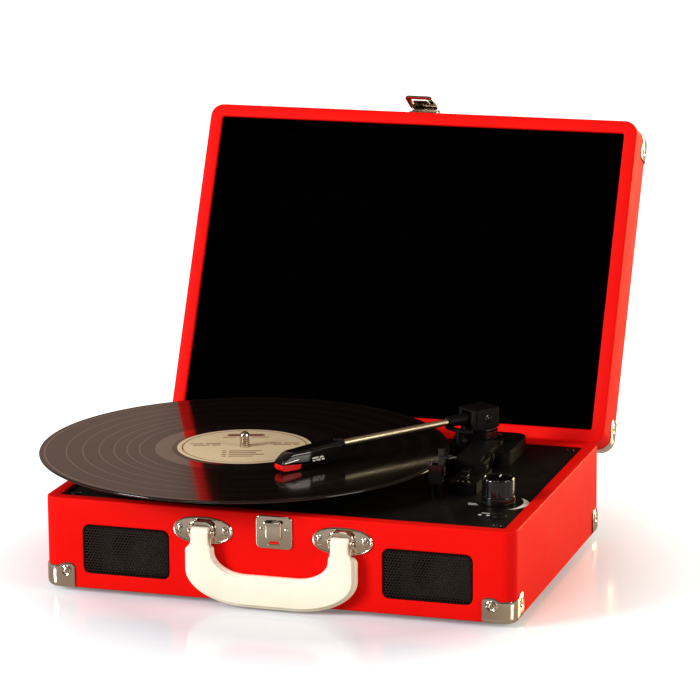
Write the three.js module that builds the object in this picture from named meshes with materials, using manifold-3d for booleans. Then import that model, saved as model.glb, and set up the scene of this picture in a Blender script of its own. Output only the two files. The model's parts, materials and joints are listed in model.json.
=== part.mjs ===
// Suitcase record player: base, lid on two hinges, belt-driven platter, tonearm and controls.
// Millimetres. +X right, +Y to the back, +Z up. z = 0 is the underside of the base's bottom panel.
import * as THREE from 'three';
import { mergeVertices } from 'three/addons/utils/BufferGeometryUtils.js';
import Module from 'manifold-3d';

const wasm = await Module();
wasm.setup();

// Driving dimensions.
const CASE = { width: 348, depth: 254, base: 66, lid: 40, wall: 10, corner: 10 };
const GAP = 0.3; // air between neighbouring pieces
const RUN = 0.03; // radial clearance of a running fit
const ROUND = 16; // sides of a small round piece or hole
const DECK = { top: 64, thick: 3 };
const FOOT = { radius: 9, height: 4, inset: 26, seat: 0.8 };
const SPINDLE = { x: -62, y: -9, radius: 3.6, top: 92.5 };
const RECORD = { radius: 151, low: 79, top: 81, edge: 0.5 };
const MAT = { radius: 96, low: 77.5 };
const PLATTER = { radius: 98, skirt: 94, bottom: 66.5, rim: 62, web: 74.5, hub: 9 };
const PULLEY = { radius: 6, flange: 7, angle: 0.35, low: 67.2, high: 71.2 };
const BELT = { thick: 0.8, low: 68, high: 70.4, air: 0.45, segments: 24 };
const PIVOT = { x: 93, y: 78, z: 93.5 };
const ARM = { aim: 234.5, radius: 2.5, sleeve: 4.2, tubeStart: 31, tubeEnd: 128, nose: 185, stylus: 180 };
const KNOB = { x: 141.5, y: -48, radius: 12.3, height: 19 };
const REST = { x: 94.5, y: -44, low: 73.6, top: 87.6, stop: 100 };
const HINGE = { x: 100, back: 4, below: 4.5, radius: 3, pin: 1.5, open: 115.6 };
const GRILLE = { x: 111.5, z: 29.5, width: 65, height: 36, corner: 5 };
const HANDLE = { centre: -1.4, x: 51.6, z: 50.4, out: 5.2, bar: 1.6, half: 63.4, strap: 6.5, depth: 7.6 };
const LATCH = { half: 13.4, low: 41, tongue: 6 };
const HASP = { half: 11, hinge: 14, out: 3.5, length: 28.7, lift: 6.5, pin: 1 };
const CAP = { reach: 23, high: 18, thick: 0.9, air: 0.1, opening: 18.3 };
const HALF_W = CASE.width / 2;
const HALF_D = CASE.depth / 2;
const FRONT = -HALF_D;
const LID_TOP = CASE.base + CASE.lid;

// Materials.
const paint = (color, roughness, metalness = 0) => () =>
  new THREE.MeshStandardMaterial({ color, roughness, metalness });
const red = paint(0xe0140f, 0.45);
const black = paint(0x0a0a0a, 0.5);
const gloss = paint(0x060606, 0.12);
const ivory = paint(0xf4efdc, 0.4);
const chrome = paint(0xd8dadd, 0.12, 1);
const brass = paint(0xb89a5a, 0.3, 1);
const champagne = paint(0xcdbf90, 0.3, 1);
const steel = paint(0x9a9ca0, 0.35, 1);
const rubber = paint(0x141414, 0.85);
const vinyl = paint(0x050505, 0.18);
const felt = paint(0x0c0c0c, 0.95);
const board = paint(0x1d5a33, 0.6);
const card = paint(0x3a3028, 0.85);
const guard = paint(0xc8141a, 0.3);

// Solids.
function solid(geometry) {
  const plain = geometry.clone();
  plain.deleteAttribute('normal');
  plain.deleteAttribute('uv');
  const merged = mergeVertices(plain, 1e-4);
  return new wasm.Manifold(
    new wasm.Mesh({
      numProp: 3,
      vertProperties: new Float32Array(merged.attributes.position.array),
      triVerts: new Uint32Array(merged.index.array),
    }),
  );
}

function geometry(body) {
  const mesh = body.getMesh();
  const result = new THREE.BufferGeometry();
  result.setAttribute('position', new THREE.BufferAttribute(mesh.vertProperties.slice(), 3));
  result.setIndex(new THREE.BufferAttribute(mesh.triVerts.slice(), 1));
  result.computeVertexNormals();
  return result;
}

const join = (first, ...rest) => rest.reduce((sum, item) => sum.add(item), first);
const cut = (first, ...rest) => rest.reduce((left, item) => left.subtract(item), first);

function box(x0, x1, y0, y1, z0, z1) {
  const shape = new THREE.BoxGeometry(x1 - x0, y1 - y0, z1 - z0);
  shape.translate((x0 + x1) / 2, (y0 + y1) / 2, (z0 + z1) / 2);
  return solid(shape);
}

function roundedOutline(width, height, radius, x = 0, y = 0) {
  const shape = new THREE.Shape();
  const right = x + width / 2 - radius;
  const left = x - width / 2 + radius;
  const top = y + height / 2 - radius;
  const bottom = y - height / 2 + radius;
  shape.absarc(right, bottom, radius, -Math.PI / 2, 0);
  shape.absarc(right, top, radius, 0, Math.PI / 2);
  shape.absarc(left, top, radius, Math.PI / 2, Math.PI);
  shape.absarc(left, bottom, radius, Math.PI, Math.PI * 1.5);
  shape.closePath();
  return shape;
}

// An upright prism: the outline lies in XY and rises from z0 to z1.
function prism(outline, z0, z1, segments = 3) {
  const shape = new THREE.ExtrudeGeometry(outline, {
    depth: z1 - z0,
    bevelEnabled: false,
    curveSegments: segments,
  });
  shape.translate(0, 0, z0);
  return solid(shape);
}

// A prism that lies along Y: the outline's x and y become X and Z.
function panel(outline, y0, y1, segments = 3) {
  const shape = new THREE.ExtrudeGeometry(outline, {
    depth: y1 - y0,
    bevelEnabled: false,
    curveSegments: segments,
  });
  shape.rotateX(Math.PI / 2);
  shape.translate(0, y1, 0);
  return solid(shape);
}

const roundedBox = (width, depth, radius, z0, z1, x = 0, y = 0) =>
  prism(roundedOutline(width, depth, radius, x, y), z0, z1);

// A turned body about the Z axis through (x, y); profile is [radius, z] pairs.
function turned(profile, segments = 24, x = 0, y = 0) {
  const points = profile.map(([r, z]) => new THREE.Vector2(r, z));
  if (profile[0][0] > 0) points.push(points[0].clone());
  const shape = new THREE.LatheGeometry(points, segments);
  shape.rotateX(Math.PI / 2);
  shape.translate(x, y, 0);
  let body = solid(shape);
  if (body.volume() < 0) {
    shape.index.array.reverse();
    body = solid(shape);
  }
  return body;
}

const disc = (radius, z0, z1, segments = 24, x = 0, y = 0) =>
  turned([[0, z0], [radius, z0], [radius, z1], [0, z1]], segments, x, y);

// Radius of a many-sided hole whose flats clear a turning pin of the given radius.
const bored = (radius, sides = ROUND) => (radius + RUN) / Math.cos(Math.PI / sides);

// A cylinder between x0 and x1 along X, at (y, z).
function rod(radius, x0, x1, y, z, segments = ROUND) {
  const shape = new THREE.CylinderGeometry(radius, radius, x1 - x0, segments);
  shape.rotateZ(Math.PI / 2);
  shape.translate((x0 + x1) / 2, y, z);
  return solid(shape);
}

// A cylinder between y0 and y1 along Y, at (x, z).
function peg(radius, y0, y1, x, z, segments = ROUND) {
  const shape = new THREE.CylinderGeometry(radius, radius, y1 - y0, segments);
  shape.translate(x, (y0 + y1) / 2, z);
  return solid(shape);
}

function piece(name, body, material) {
  const mesh = new THREE.Mesh(geometry(body), material());
  mesh.name = name;
  return mesh;
}

const sides = [['left', -1], ['right', 1]];
const corners = [
  ['front_left', -1, -1],
  ['front_right', 1, -1],
  ['rear_left', -1, 1],
  ['rear_right', 1, 1],
];

// ---------------------------------------------------------------- case base
const SPEAKER_WALL = FRONT + CASE.wall;
const INNER_W = CASE.width - 2 * CASE.wall;
const INNER_D = CASE.depth - 2 * CASE.wall;
const SOCKETS = { x: 80, z: 32, width: 70, height: 24 };
const LEDGE = { reach: 6, low: 4, high: 8 };

function caseRing(z0, z1) {
  const outer = roundedBox(CASE.width, CASE.depth, CASE.corner, z0, z1);
  return cut(outer, roundedBox(INNER_W, INNER_D, 2, z0 - 1, z1 + 1));
}

function ledge(z0, z1) {
  const outer = roundedBox(INNER_W + 1, INNER_D + 1, 2, z0, z1);
  const hole = roundedBox(INNER_W - 2 * LEDGE.reach, INNER_D - 2 * LEDGE.reach, 2, z0 - 1, z1 + 1);
  return cut(outer, hole);
}

const grilleOutline = (x, air) =>
  roundedOutline(GRILLE.width - 2 * air, GRILLE.height - 2 * air, GRILLE.corner - air, x, GRILLE.z);

function baseShell() {
  const deckUnder = DECK.top - DECK.thick;
  const body = join(
    caseRing(0, CASE.base),
    ledge(LEDGE.low, LEDGE.high),
    ledge(deckUnder - LEDGE.low, deckUnder),
  );
  const openings = sides.map(([, s]) => panel(grilleOutline(s * GRILLE.x, 0), FRONT - 1, SPEAKER_WALL + 1));
  const socketOutline = roundedOutline(SOCKETS.width, SOCKETS.height, 3, SOCKETS.x, SOCKETS.z);
  return cut(body, ...openings, panel(socketOutline, HALF_D - CASE.wall - 1, HALF_D + 1));
}

// Each foot sits in a shallow seat in the panel's underside.
function bottomPanel() {
  const panelBody = roundedBox(INNER_W - 2 * GAP, INNER_D - 2 * GAP, 2, 0, LEDGE.low);
  const seats = corners.map(([, sx, sy]) =>
    disc(FOOT.radius + GAP, -1, FOOT.seat, ROUND, sx * (HALF_W - FOOT.inset), sy * (HALF_D - FOOT.inset)),
  );
  return cut(panelBody, ...seats);
}

// A dark frame with horizontal louvres.
const LOUVRE = { count: 7, frame: 3, thick: 2, proud: 0.6, from: 0.4, to: 3, back: 5 };
function grille(s) {
  const x = s * GRILLE.x;
  const frame = cut(
    panel(grilleOutline(x, GAP), FRONT - LOUVRE.proud, FRONT + LOUVRE.back),
    panel(grilleOutline(x, LOUVRE.frame), FRONT - 1, FRONT + LOUVRE.back + 1),
  );
  const inside = GRILLE.height - 2 * LOUVRE.frame;
  const half = GRILLE.width / 2 - 2;
  const bars = [];
  for (let i = 0; i < LOUVRE.count; i += 1) {
    const z = GRILLE.z - inside / 2 + (inside * (i + 0.5)) / LOUVRE.count;
    const low = z - LOUVRE.thick / 2;
    bars.push(box(x - half, x + half, FRONT + LOUVRE.from, FRONT + LOUVRE.to, low, low + LOUVRE.thick));
  }
  return join(frame, ...bars);
}

// A driver behind the front wall: square flange, paper cone, magnet.
const DRIVER = { width: 68, height: 38, thick: 2, basket: 17, neck: 9, magnet: 13, deep: 24, sides: 20 };
function speaker(s) {
  const x = s * GRILLE.x;
  const back = SPEAKER_WALL + GAP;
  const { width, height, thick, basket, neck, magnet, deep, sides: round } = DRIVER;
  const flange = box(x - width / 2, x + width / 2, back, back + thick, GRILLE.z - height / 2, GRILLE.z + height / 2);
  const profile = [[0, 0], [basket, 0], [neck, deep - 10], [magnet, deep - 10], [magnet, deep], [0, deep]];
  const body = turned(profile, round).rotate([-90, 0, 0]).translate([x, back + 1, GRILLE.z]);
  const hollow = turned([[0, -1], [basket - 2, -1], [neck - 3, neck], [0, neck]], round);
  return cut(join(flange, body), hollow.rotate([-90, 0, 0]).translate([x, back, GRILLE.z]));
}

const foot = (sx, sy) =>
  turned(
    [[0, -FOOT.height], [FOOT.radius - 1.5, -FOOT.height], [FOOT.radius, 0], [FOOT.radius, FOOT.seat],
      [0, FOOT.seat]],
    ROUND,
    sx * (HALF_W - FOOT.inset),
    sy * (HALF_D - FOOT.inset),
  );

// A pressed metal cap over one corner; upper caps cover the lid's top corners.
function cornerCap(sx, sy, upper) {
  const { reach, high, thick, air } = CAP;
  const grown = (by, z0, z1) =>
    roundedBox(CASE.width + 2 * by, CASE.depth + 2 * by, CASE.corner + by, z0, z1);
  const low = upper ? LID_TOP - high : -thick;
  const top = upper ? LID_TOP + thick : high;
  const hollow = upper ? grown(air, low - 1, LID_TOP + air) : grown(air, -air, top + 1);
  const x = sx * HALF_W;
  const y = sy * HALF_D;
  const window = box(
    Math.min(x - sx * reach, x + 2 * sx),
    Math.max(x - sx * reach, x + 2 * sx),
    Math.min(y - sy * reach, y + 2 * sy),
    Math.max(y - sy * reach, y + 2 * sy),
    low - 1,
    top + 1,
  );
  const opening = disc(CAP.opening, low - 2, top + 2, 24, x - sx * reach, y - sy * reach);
  const shell = cut(grown(thick, low, top), hollow).intersect(window);
  return cut(shell, opening);
}

const HINGE_Y = HALF_D + HINGE.back;
const HINGE_Z = CASE.base - HINGE.below;
const KNUCKLE = { inner: 6.7, start: 7, end: 20 };

function hingeLeafBase(s) {
  const x = s * HINGE.x;
  const y0 = HALF_D + GAP / 3;
  const leaf = box(x - KNUCKLE.end, x + KNUCKLE.end, y0, y0 + 1.4, 38, HINGE_Z - 3.2);
  const parts = [leaf];
  for (const t of [-1, 1]) {
    const a = Math.min(t * KNUCKLE.start, t * KNUCKLE.end) + x;
    const b = Math.max(t * KNUCKLE.start, t * KNUCKLE.end) + x;
    parts.push(box(a, b, y0, y0 + 1.4, HINGE_Z - 4, HINGE_Z));
    parts.push(rod(HINGE.radius, a, b, HINGE_Y, HINGE_Z));
  }
  const bore = rod(bored(HINGE.pin), x - 30, x + 30, HINGE_Y, HINGE_Z);
  return cut(join(...parts), bore);
}

function hingePin(s) {
  const x = s * HINGE.x;
  const end = KNUCKLE.end + GAP;
  return join(
    rod(HINGE.pin, x - end - 1, x + end + 1, HINGE_Y, HINGE_Z),
    rod(2.4, x - end - 1.2, x - end, HINGE_Y, HINGE_Z),
    rod(2.4, x + end, x + end + 1.2, HINGE_Y, HINGE_Z),
  );
}

// Front latch plate with the raised tongue that the lid's hasp closes over, and its lip.
function latchCatch() {
  const high = CASE.base - 1;
  const centre = (LATCH.low + high) / 2;
  const plate = roundedOutline(2 * LATCH.half, high - LATCH.low, 4, 0, centre);
  const tongue = roundedOutline(2 * LATCH.tongue, 15, 4, 0, 54);
  const lip = roundedOutline(2 * LATCH.tongue + 2, 4, 1.5, 0, 59.5);
  return join(
    panel(plate, FRONT - 1.2, FRONT),
    panel(tongue, FRONT - 4, FRONT - 1),
    panel(lip, FRONT - 5.5, FRONT - 3.9),
  );
}

const BAIL_Y = FRONT - HANDLE.out;
const MOUNT = { wide: 22, high: 10, thick: 1.2, post: 8.3, postHalf: 1.1, sides: 28 };
const strapX = (s) => HANDLE.centre + s * HANDLE.x;

// An oval plate with two posts and the bail that the handle's strap loops over.
function handleMount(s) {
  const x = strapX(s);
  const { wide, high, thick, post, postHalf } = MOUNT;
  const oval = new THREE.Shape();
  oval.absellipse(x, HANDLE.z, wide, high, 0, 2 * Math.PI);
  const plate = panel(oval, FRONT - thick, FRONT, MOUNT.sides);
  const posts = [-1, 1].map((t) => {
    const a = x + t * post;
    const reach = HANDLE.bar;
    return box(a - postHalf, a + postHalf, BAIL_Y - reach, FRONT - 1, HANDLE.z - reach, HANDLE.z + reach);
  });
  return join(plate, ...posts, rod(HANDLE.bar, x - post, x + post, BAIL_Y, HANDLE.z));
}

function deckPlate() {
  const plate = roundedBox(INNER_W - 2 * GAP, INNER_D - 2 * GAP, 2, DECK.top - DECK.thick, DECK.top);
  const hole = (radius, x, y) => disc(radius, DECK.top - 10, DECK.top + 5, 20, x, y);
  return cut(
    plate,
    hole(7 + GAP, SPINDLE.x, SPINDLE.y),
    hole(PULLEY.radius + 2, MOTOR.x, MOTOR.y),
    hole(3.5, KNOB.x, KNOB.y),
    hole(4, LIFT.x, LIFT.y),
    hole(10, PIVOT.x, PIVOT.y),
    hole(4.5, JACK.x, JACK.y),
  );
}

const MOTOR_AWAY = PLATTER.rim + PULLEY.radius + 10;
const MOTOR = {
  x: SPINDLE.x + MOTOR_AWAY * Math.cos(PULLEY.angle),
  y: SPINDLE.y + MOTOR_AWAY * Math.sin(PULLEY.angle),
};
const JACK = { x: 151, y: -83 };
const LIFT = { reach: 26, angle: 250, low: 70, bar: 86.6, top: 88.8 };
LIFT.x = PIVOT.x + LIFT.reach * Math.cos((LIFT.angle * Math.PI) / 180);
LIFT.y = PIVOT.y + LIFT.reach * Math.sin((LIFT.angle * Math.PI) / 180);

// A flanged bush that hangs under the deck and carries the spindle.
const spindleBearing = () =>
  turned(
    [[bored(SPINDLE.radius, 24), 30], [7, 30], [7, DECK.top], [11, DECK.top], [11, DECK.top + 1.5],
      [bored(SPINDLE.radius, 24), DECK.top + 1.5]],
    24,
    SPINDLE.x,
    SPINDLE.y,
  );

function driveMotor() {
  const can = turned([[0, 36], [17, 36], [18, 37.5], [18, 60], [0, 60]], 24, MOTOR.x, MOTOR.y);
  const boss = disc(4, 59, 60.9, 16, MOTOR.x, MOTOR.y);
  const shaftHole = disc(bored(1, 24), 45, 70, 24, MOTOR.x, MOTOR.y);
  return cut(join(can, boss), shaftHole);
}

// A round belt path: the outer common tangents of the platter rim and the pulley.
function beltOutline(extra) {
  const away = MOTOR_AWAY;
  const lean = Math.acos((PLATTER.rim - PULLEY.radius) / away);
  const shape = new THREE.Shape();
  const aim = PULLEY.angle;
  shape.absarc(SPINDLE.x, SPINDLE.y, PLATTER.rim + extra, aim + lean, aim - lean + 2 * Math.PI);
  shape.absarc(MOTOR.x, MOTOR.y, PULLEY.radius + extra, aim - lean, aim + lean);
  shape.closePath();
  return shape;
}

const driveBelt = () =>
  cut(
    prism(beltOutline(BELT.air + BELT.thick), BELT.low, BELT.high, BELT.segments),
    prism(beltOutline(BELT.air), BELT.low - 1, BELT.high + 1, BELT.segments),
  );

function circuitBoard() {
  const base = box(60, 150, -70, -5, 22, 23.6);
  const parts = [base, box(70, 95, -60, -40, 23, 33), box(105, 112, -20, -13, 23, 37)];
  for (const [x, y] of [[64, -66], [146, -66], [64, -9], [146, -9]]) {
    parts.push(box(x - 2.5, x + 2.5, y - 2.5, y + 2.5, LEDGE.low, 22.5));
  }
  parts.push(box(KNOB.x - 5, KNOB.x + 5, KNOB.y - 3, KNOB.y + 3, 23, 50));
  parts.push(disc(8, 48, 60.7, 16, KNOB.x, KNOB.y));
  return cut(join(...parts), disc(bored(2.5), 54, 70, ROUND, KNOB.x, KNOB.y));
}

// Stepped housing that carries the speed and stop switches, the cue lift and the arm pivot.
const STEP = { x0: 100, x1: 121, y0: -33, y1: 12, top: 72 };
const BLOCK = { x0: 93, x1: 112, y0: 11, y1: 62, top: 78 };
const PLATFORM = { x: 100, y: 76, width: 48, depth: 60, top: 75 };
const DRUM = { radius: 14, top: 84 };
const SPEED = { x: 110, y: -23, rest: 0 };
const STOP = { x: 110, y: -9, rest: -3 };

function tonearmBase() {
  const step = roundedBox(
    STEP.x1 - STEP.x0, STEP.y1 - STEP.y0, 2, DECK.top, STEP.top,
    (STEP.x0 + STEP.x1) / 2, (STEP.y0 + STEP.y1) / 2,
  );
  const block = box(BLOCK.x0, BLOCK.x1, BLOCK.y0, BLOCK.y1, DECK.top, BLOCK.top);
  const platform = roundedBox(
    PLATFORM.width, PLATFORM.depth, 10, DECK.top, PLATFORM.top, PLATFORM.x, PLATFORM.y,
  );
  const drum = turned(
    [[0, 70], [19, 70], [19, 77], [DRUM.radius, 78.5], [DRUM.radius, DRUM.top], [0, DRUM.top]],
    28, PIVOT.x, PIVOT.y,
  );
  const cuePin = join(
    rod(1.5, BLOCK.x1 - 1, CUE.x1 + 1, CUE.y, CUE.z),
    rod(2.6, CUE.x1 + GAP, CUE.x1 + 1.4, CUE.y, CUE.z),
  );
  const slot = (place) =>
    box(place.x - 7, place.x + 7, place.y - 1.2, place.y + 1.2, STEP.top - 3, STEP.top + 2);
  return cut(
    join(step, block, platform, drum, cuePin),
    slot(SPEED),
    slot(STOP),
    disc(bored(6, 24), 66, 90, 24, PIVOT.x, PIVOT.y),
    disc(bored(2.5), 60, 90, ROUND, LIFT.x, LIFT.y),
  );
}

// A block on two round feet, with a low shoulder on the platter side and a tall stop on the other.
const LOCK = { x: REST.x + 4.2, z: 94, straight: 6.8, reach: 10.8, half: 3.9, wire: 1.2, pin: 0.6 };
function armRest() {
  const { x, y, low, top, stop } = REST;
  const body = box(x - 4.9, x + 4.9, y - 3.5, y + 3.5, low, top);
  const feet = [-3.3, 2.2].map((shift) => disc(2.3, DECK.top, low + 0.5, ROUND, x + shift, y));
  const post = box(x + 2.1, x + 6.3, y - 2.2, y + 2.2, top - 8, stop);
  const knob = disc(1.2, top - 1, top + 2.2, 12, x - 4, y - 2);
  const bore = peg(bored(LOCK.pin), y - 6, y + 6, LOCK.x, LOCK.z);
  return cut(join(body, ...feet, post, knob), bore);
}

const headphoneJack = () =>
  turned(
    [[2, 48], [4.2, 48], [4.2, DECK.top], [6, DECK.top], [5.4, DECK.top + 1.6], [2, DECK.top + 1.6]],
    20, JACK.x, JACK.y,
  );

const BACK = HALF_D;
function socketPanel() {
  const outline = roundedOutline(SOCKETS.width - 2 * GAP, SOCKETS.height - 2 * GAP, 3 - GAP, SOCKETS.x, SOCKETS.z);
  return cut(
    panel(outline, BACK - 4, BACK - 1),
    peg(5.5 + GAP, BACK - 8, BACK + 1, SOCKETS.x - 22, SOCKETS.z),
    peg(4.5 + GAP, BACK - 8, BACK + 1, SOCKETS.x + 4, SOCKETS.z),
    peg(4.5 + GAP, BACK - 8, BACK + 1, SOCKETS.x + 22, SOCKETS.z),
  );
}

function powerInlet() {
  const x = SOCKETS.x - 22;
  const barrel = cut(peg(5.5, BACK - 14, BACK - 0.5, x, SOCKETS.z), peg(3, BACK - 10, BACK, x, SOCKETS.z));
  return join(barrel, peg(1, BACK - 11, BACK - 3, x, SOCKETS.z, 12));
}

// Two line sockets on one carrier strip behind the panel.
function lineOutputs() {
  const places = [SOCKETS.x + 4, SOCKETS.x + 22];
  const strip = box(places[0] - 6, places[1] + 6, BACK - 12, BACK - 9.7, SOCKETS.z - 6, SOCKETS.z + 6);
  const barrels = places.map((x) => peg(4.5, BACK - 11, BACK + 7, x, SOCKETS.z));
  const holes = places.map((x) => peg(1.6, BACK - 3, BACK + 8, x, SOCKETS.z));
  return cut(join(strip, ...barrels), ...holes);
}

// ---------------------------------------------------------------- platter
const platter = () => {
  const { radius, skirt, bottom, rim, web, hub } = PLATTER;
  const seat = BELT.low;
  return turned(
    [
      [SPINDLE.radius + GAP, seat], [hub, seat], [hub, web - 2.5], [rim - 3, web],
      [rim - 3, seat - 1], [rim, seat - 1], [rim, web],
      [skirt, web], [skirt, bottom], [radius, bottom],
      [radius, MAT.low - 1], [radius - 1, MAT.low], [SPINDLE.radius + GAP, MAT.low],
    ],
    48, SPINDLE.x, SPINDLE.y,
  );
};

const slipMat = () =>
  turned(
    [[SPINDLE.radius + GAP, MAT.low], [MAT.radius, MAT.low], [MAT.radius, RECORD.low],
      [SPINDLE.radius + GAP, RECORD.low]],
    40, SPINDLE.x, SPINDLE.y,
  );

// Spindle with a shoulder that carries the platter's hub.
const spindle = () =>
  turned(
    [
      [0, 28], [SPINDLE.radius, 30], [SPINDLE.radius, 66], [8, 66.2], [8, 67.9],
      [SPINDLE.radius, 67.9], [SPINDLE.radius, SPINDLE.top - 2.5], [2.6, SPINDLE.top - 0.7], [0, SPINDLE.top],
    ],
    24, SPINDLE.x, SPINDLE.y,
  );

const record = () => {
  const { radius, low, top, edge } = RECORD;
  return turned(
    [
      [SPINDLE.radius + GAP, low], [radius - 1, low], [radius, low + edge],
      [radius, top - edge], [radius - 1, top], [SPINDLE.radius + GAP, top],
    ],
    64, SPINDLE.x, SPINDLE.y,
  );
};

const motorPulley = () => {
  const { radius, flange, low, high } = PULLEY;
  return turned(
    [
      [0, 46], [1, 46], [1, low], [flange, low], [flange, low + 0.6], [radius, low + 0.7],
      [radius, high - 0.6], [flange, high - 0.5], [flange, high], [0, high],
    ],
    24, MOTOR.x, MOTOR.y,
  );
};

// ---------------------------------------------------------------- tonearm
// Drawn along +X from the pivot, then turned to its place by the group.
const armTurret = () => turned([[0, 67], [6, 67], [6, DRUM.top], [0, DRUM.top]], 24)
  .add(turned([[0, DRUM.top + GAP], [13, DRUM.top + GAP], [13, 86], [0, 86]], 24))
  .add(disc(6, DRUM.top - 1, 85.5));

const ARM_Z = PIVOT.z;
function armHousing() {
  const outline = roundedOutline(24, 22, 2.5);
  const block = prism(outline, 86, 101);
  const slot = box(-9.5, 14, -4.6, 4.6, 87.2, 99.2);
  return cut(block, slot, peg(bored(1.5), -9, 9, 0, ARM_Z));
}

function armSleeve() {
  const tail = box(-7, 13, -3.6, 3.6, ARM_Z - 3.4, ARM_Z + 3.4);
  return join(
    tail,
    rod(ARM.sleeve, 12.5, ARM.tubeStart, 0, ARM_Z, 20),
    peg(1.5, -8.5, 8.5, 0, ARM_Z),
  );
}

const armTube = () => rod(ARM.radius, ARM.tubeStart + GAP, ARM.tubeEnd, 0, ARM_Z, 16);

// A deep wedge that narrows and rounds over to its nose, on the tube's collar.
const SHELL = { start: 134, half: 7.5, tip: 5, top: 97, low: 85.4 };
function headshell() {
  const { start, half, tip, top, low } = SHELL;
  const side = new THREE.Shape();
  side.moveTo(start, top - 7.5);
  side.lineTo(start, top);
  side.lineTo(start + 16, top - 0.8);
  side.lineTo(start + 33, top - 1.8);
  side.quadraticCurveTo(ARM.nose - 2, top - 3.2, ARM.nose, top - 8.4);
  side.lineTo(ARM.nose, low + 1.7);
  side.lineTo(start + 33, low);
  side.lineTo(start + 12, low);
  side.closePath();
  const plan = new THREE.Shape();
  plan.moveTo(start - 1, -half);
  plan.lineTo(start + 30, -half);
  plan.lineTo(ARM.nose + 1, -tip);
  plan.lineTo(ARM.nose + 1, tip);
  plan.lineTo(start + 30, half);
  plan.lineTo(start - 1, half);
  plan.closePath();
  const wedge = panel(side, -half - 1, half + 1, 6).intersect(prism(plan, low - 1, top + 1));
  const collar = rod(4.4, ARM.tubeEnd + GAP, start + 1, 0, ARM_Z, 20);
  return join(wedge, collar);
}

// The stylus guard under the headshell's nose, with the stylus below it.
function cartridge() {
  const { start, low } = SHELL;
  const half = 4.5;
  const bottom = RECORD.top + 0.7;
  const side = new THREE.Shape();
  side.moveTo(start + 33.5, low - 0.1);
  side.lineTo(ARM.nose + 0.5, low + 1.6);
  side.lineTo(ARM.nose + 0.5, low - 0.6);
  side.lineTo(ARM.nose - 2, bottom);
  side.lineTo(start + 36, bottom - 0.1);
  side.closePath();
  const tip = turned([[0, RECORD.top + 0.25], [1, bottom + 1], [0, bottom + 1.1]], 10, ARM.stylus, 0);
  return join(panel(side, -half, half), tip);
}

// ---------------------------------------------------------------- cue lift and controls
const CUE = { x0: BLOCK.x1 + GAP, x1: BLOCK.x1 + 3.3, y: 32, z: 75.5, reach: 30 };

function cueLever() {
  const bore = rod(bored(1.5), CUE.x0 - 1, CUE.x1 + 1, CUE.y, CUE.z);
  const hub = rod(3.4, CUE.x0, CUE.x1, CUE.y, CUE.z);
  const arm = box(CUE.x0, CUE.x1, CUE.y - CUE.reach, CUE.y, CUE.z - 1.2, CUE.z + 1.2);
  const tab = box(CUE.x0, CUE.x1 + 5, CUE.y - CUE.reach - 4, CUE.y - CUE.reach + 1, CUE.z - 1.2, CUE.z + 2.2);
  return cut(join(hub, arm, tab), bore);
}

function liftPost() {
  const outer = disc(LIFT.reach + 2, LIFT.bar, LIFT.top, 64, PIVOT.x, PIVOT.y);
  const inner = disc(LIFT.reach - 2, LIFT.bar - 1, LIFT.top + 1, 64, PIVOT.x, PIVOT.y);
  const sector = new THREE.Shape();
  const rad = Math.PI / 180;
  sector.moveTo(PIVOT.x, PIVOT.y);
  sector.lineTo(PIVOT.x + 60 * Math.cos(222 * rad), PIVOT.y + 60 * Math.sin(222 * rad));
  sector.lineTo(PIVOT.x + 80 * Math.cos(248 * rad), PIVOT.y + 80 * Math.sin(248 * rad));
  sector.lineTo(PIVOT.x + 60 * Math.cos(274 * rad), PIVOT.y + 60 * Math.sin(274 * rad));
  sector.closePath();
  const arc = cut(outer, inner).intersect(prism(sector, LIFT.bar - 1, LIFT.top + 1));
  return join(arc, disc(2.5, LIFT.low, LIFT.bar + 0.5, 16, LIFT.x, LIFT.y));
}

// A turned knob with a skirt and flutes round its side.
function volumeKnob() {
  const low = DECK.top + 0.5;
  const top = DECK.top + KNOB.height;
  const body = turned(
    [[0, low], [KNOB.radius, low], [KNOB.radius, low + 5], [KNOB.radius - 1, low + 5.6],
      [KNOB.radius - 1, top - 1], [KNOB.radius - 2, top], [0, top]],
    36, KNOB.x, KNOB.y,
  );
  const flutes = [];
  const count = 8; // grooves round the grip
  for (let i = 0; i < count; i += 1) {
    const a = ((i + 0.5) * 2 * Math.PI) / count;
    const r = KNOB.radius + 0.3;
    flutes.push(disc(1.1, low + 6, top + 1, 8, KNOB.x + r * Math.cos(a), KNOB.y + r * Math.sin(a)));
  }
  return join(cut(body, ...flutes), disc(2.5, 54.5, low + 1, 16, KNOB.x, KNOB.y));
}

function slider(place) {
  const x = place.x + place.rest;
  return join(
    box(x - 2.5, x + 2.5, place.y - 3.5, place.y + 3.5, STEP.top + 0.2, STEP.top + 3.6),
    box(x - 2, x + 2, place.y - 1, place.y + 1, STEP.top - 2.8, STEP.top + 0.5),
  );
}

// A pointed wire bail that turns over the arm when it is parked.
function restLock() {
  const { x, z, straight, reach, half, wire, pin } = LOCK;
  const y = REST.y;
  const outline = (back, shoulder, front, wide) => {
    const shape = new THREE.Shape();
    shape.moveTo(back, y - wide);
    shape.lineTo(shoulder, y - wide);
    shape.lineTo(front, y);
    shape.lineTo(shoulder, y + wide);
    shape.lineTo(back, y + wide);
    shape.closePath();
    return shape;
  };
  const frame = cut(
    prism(outline(x - 1, x + straight, x + reach, half), z - pin, z + pin),
    prism(outline(x - 2, x + straight, x + reach - 1.6 * wire, half - wire), z - 2, z + 2),
  );
  return join(frame, peg(pin, y - half + 0.1, y + half - 0.1, x, z));
}

// ---------------------------------------------------------------- lid, drawn closed
function lidShell() {
  const outer = roundedBox(CASE.width, CASE.depth, CASE.corner, CASE.base, LID_TOP);
  const hollow = roundedBox(INNER_W, INNER_D, 2, CASE.base - 1, LID_TOP - 3);
  return cut(outer, hollow);
}

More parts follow.
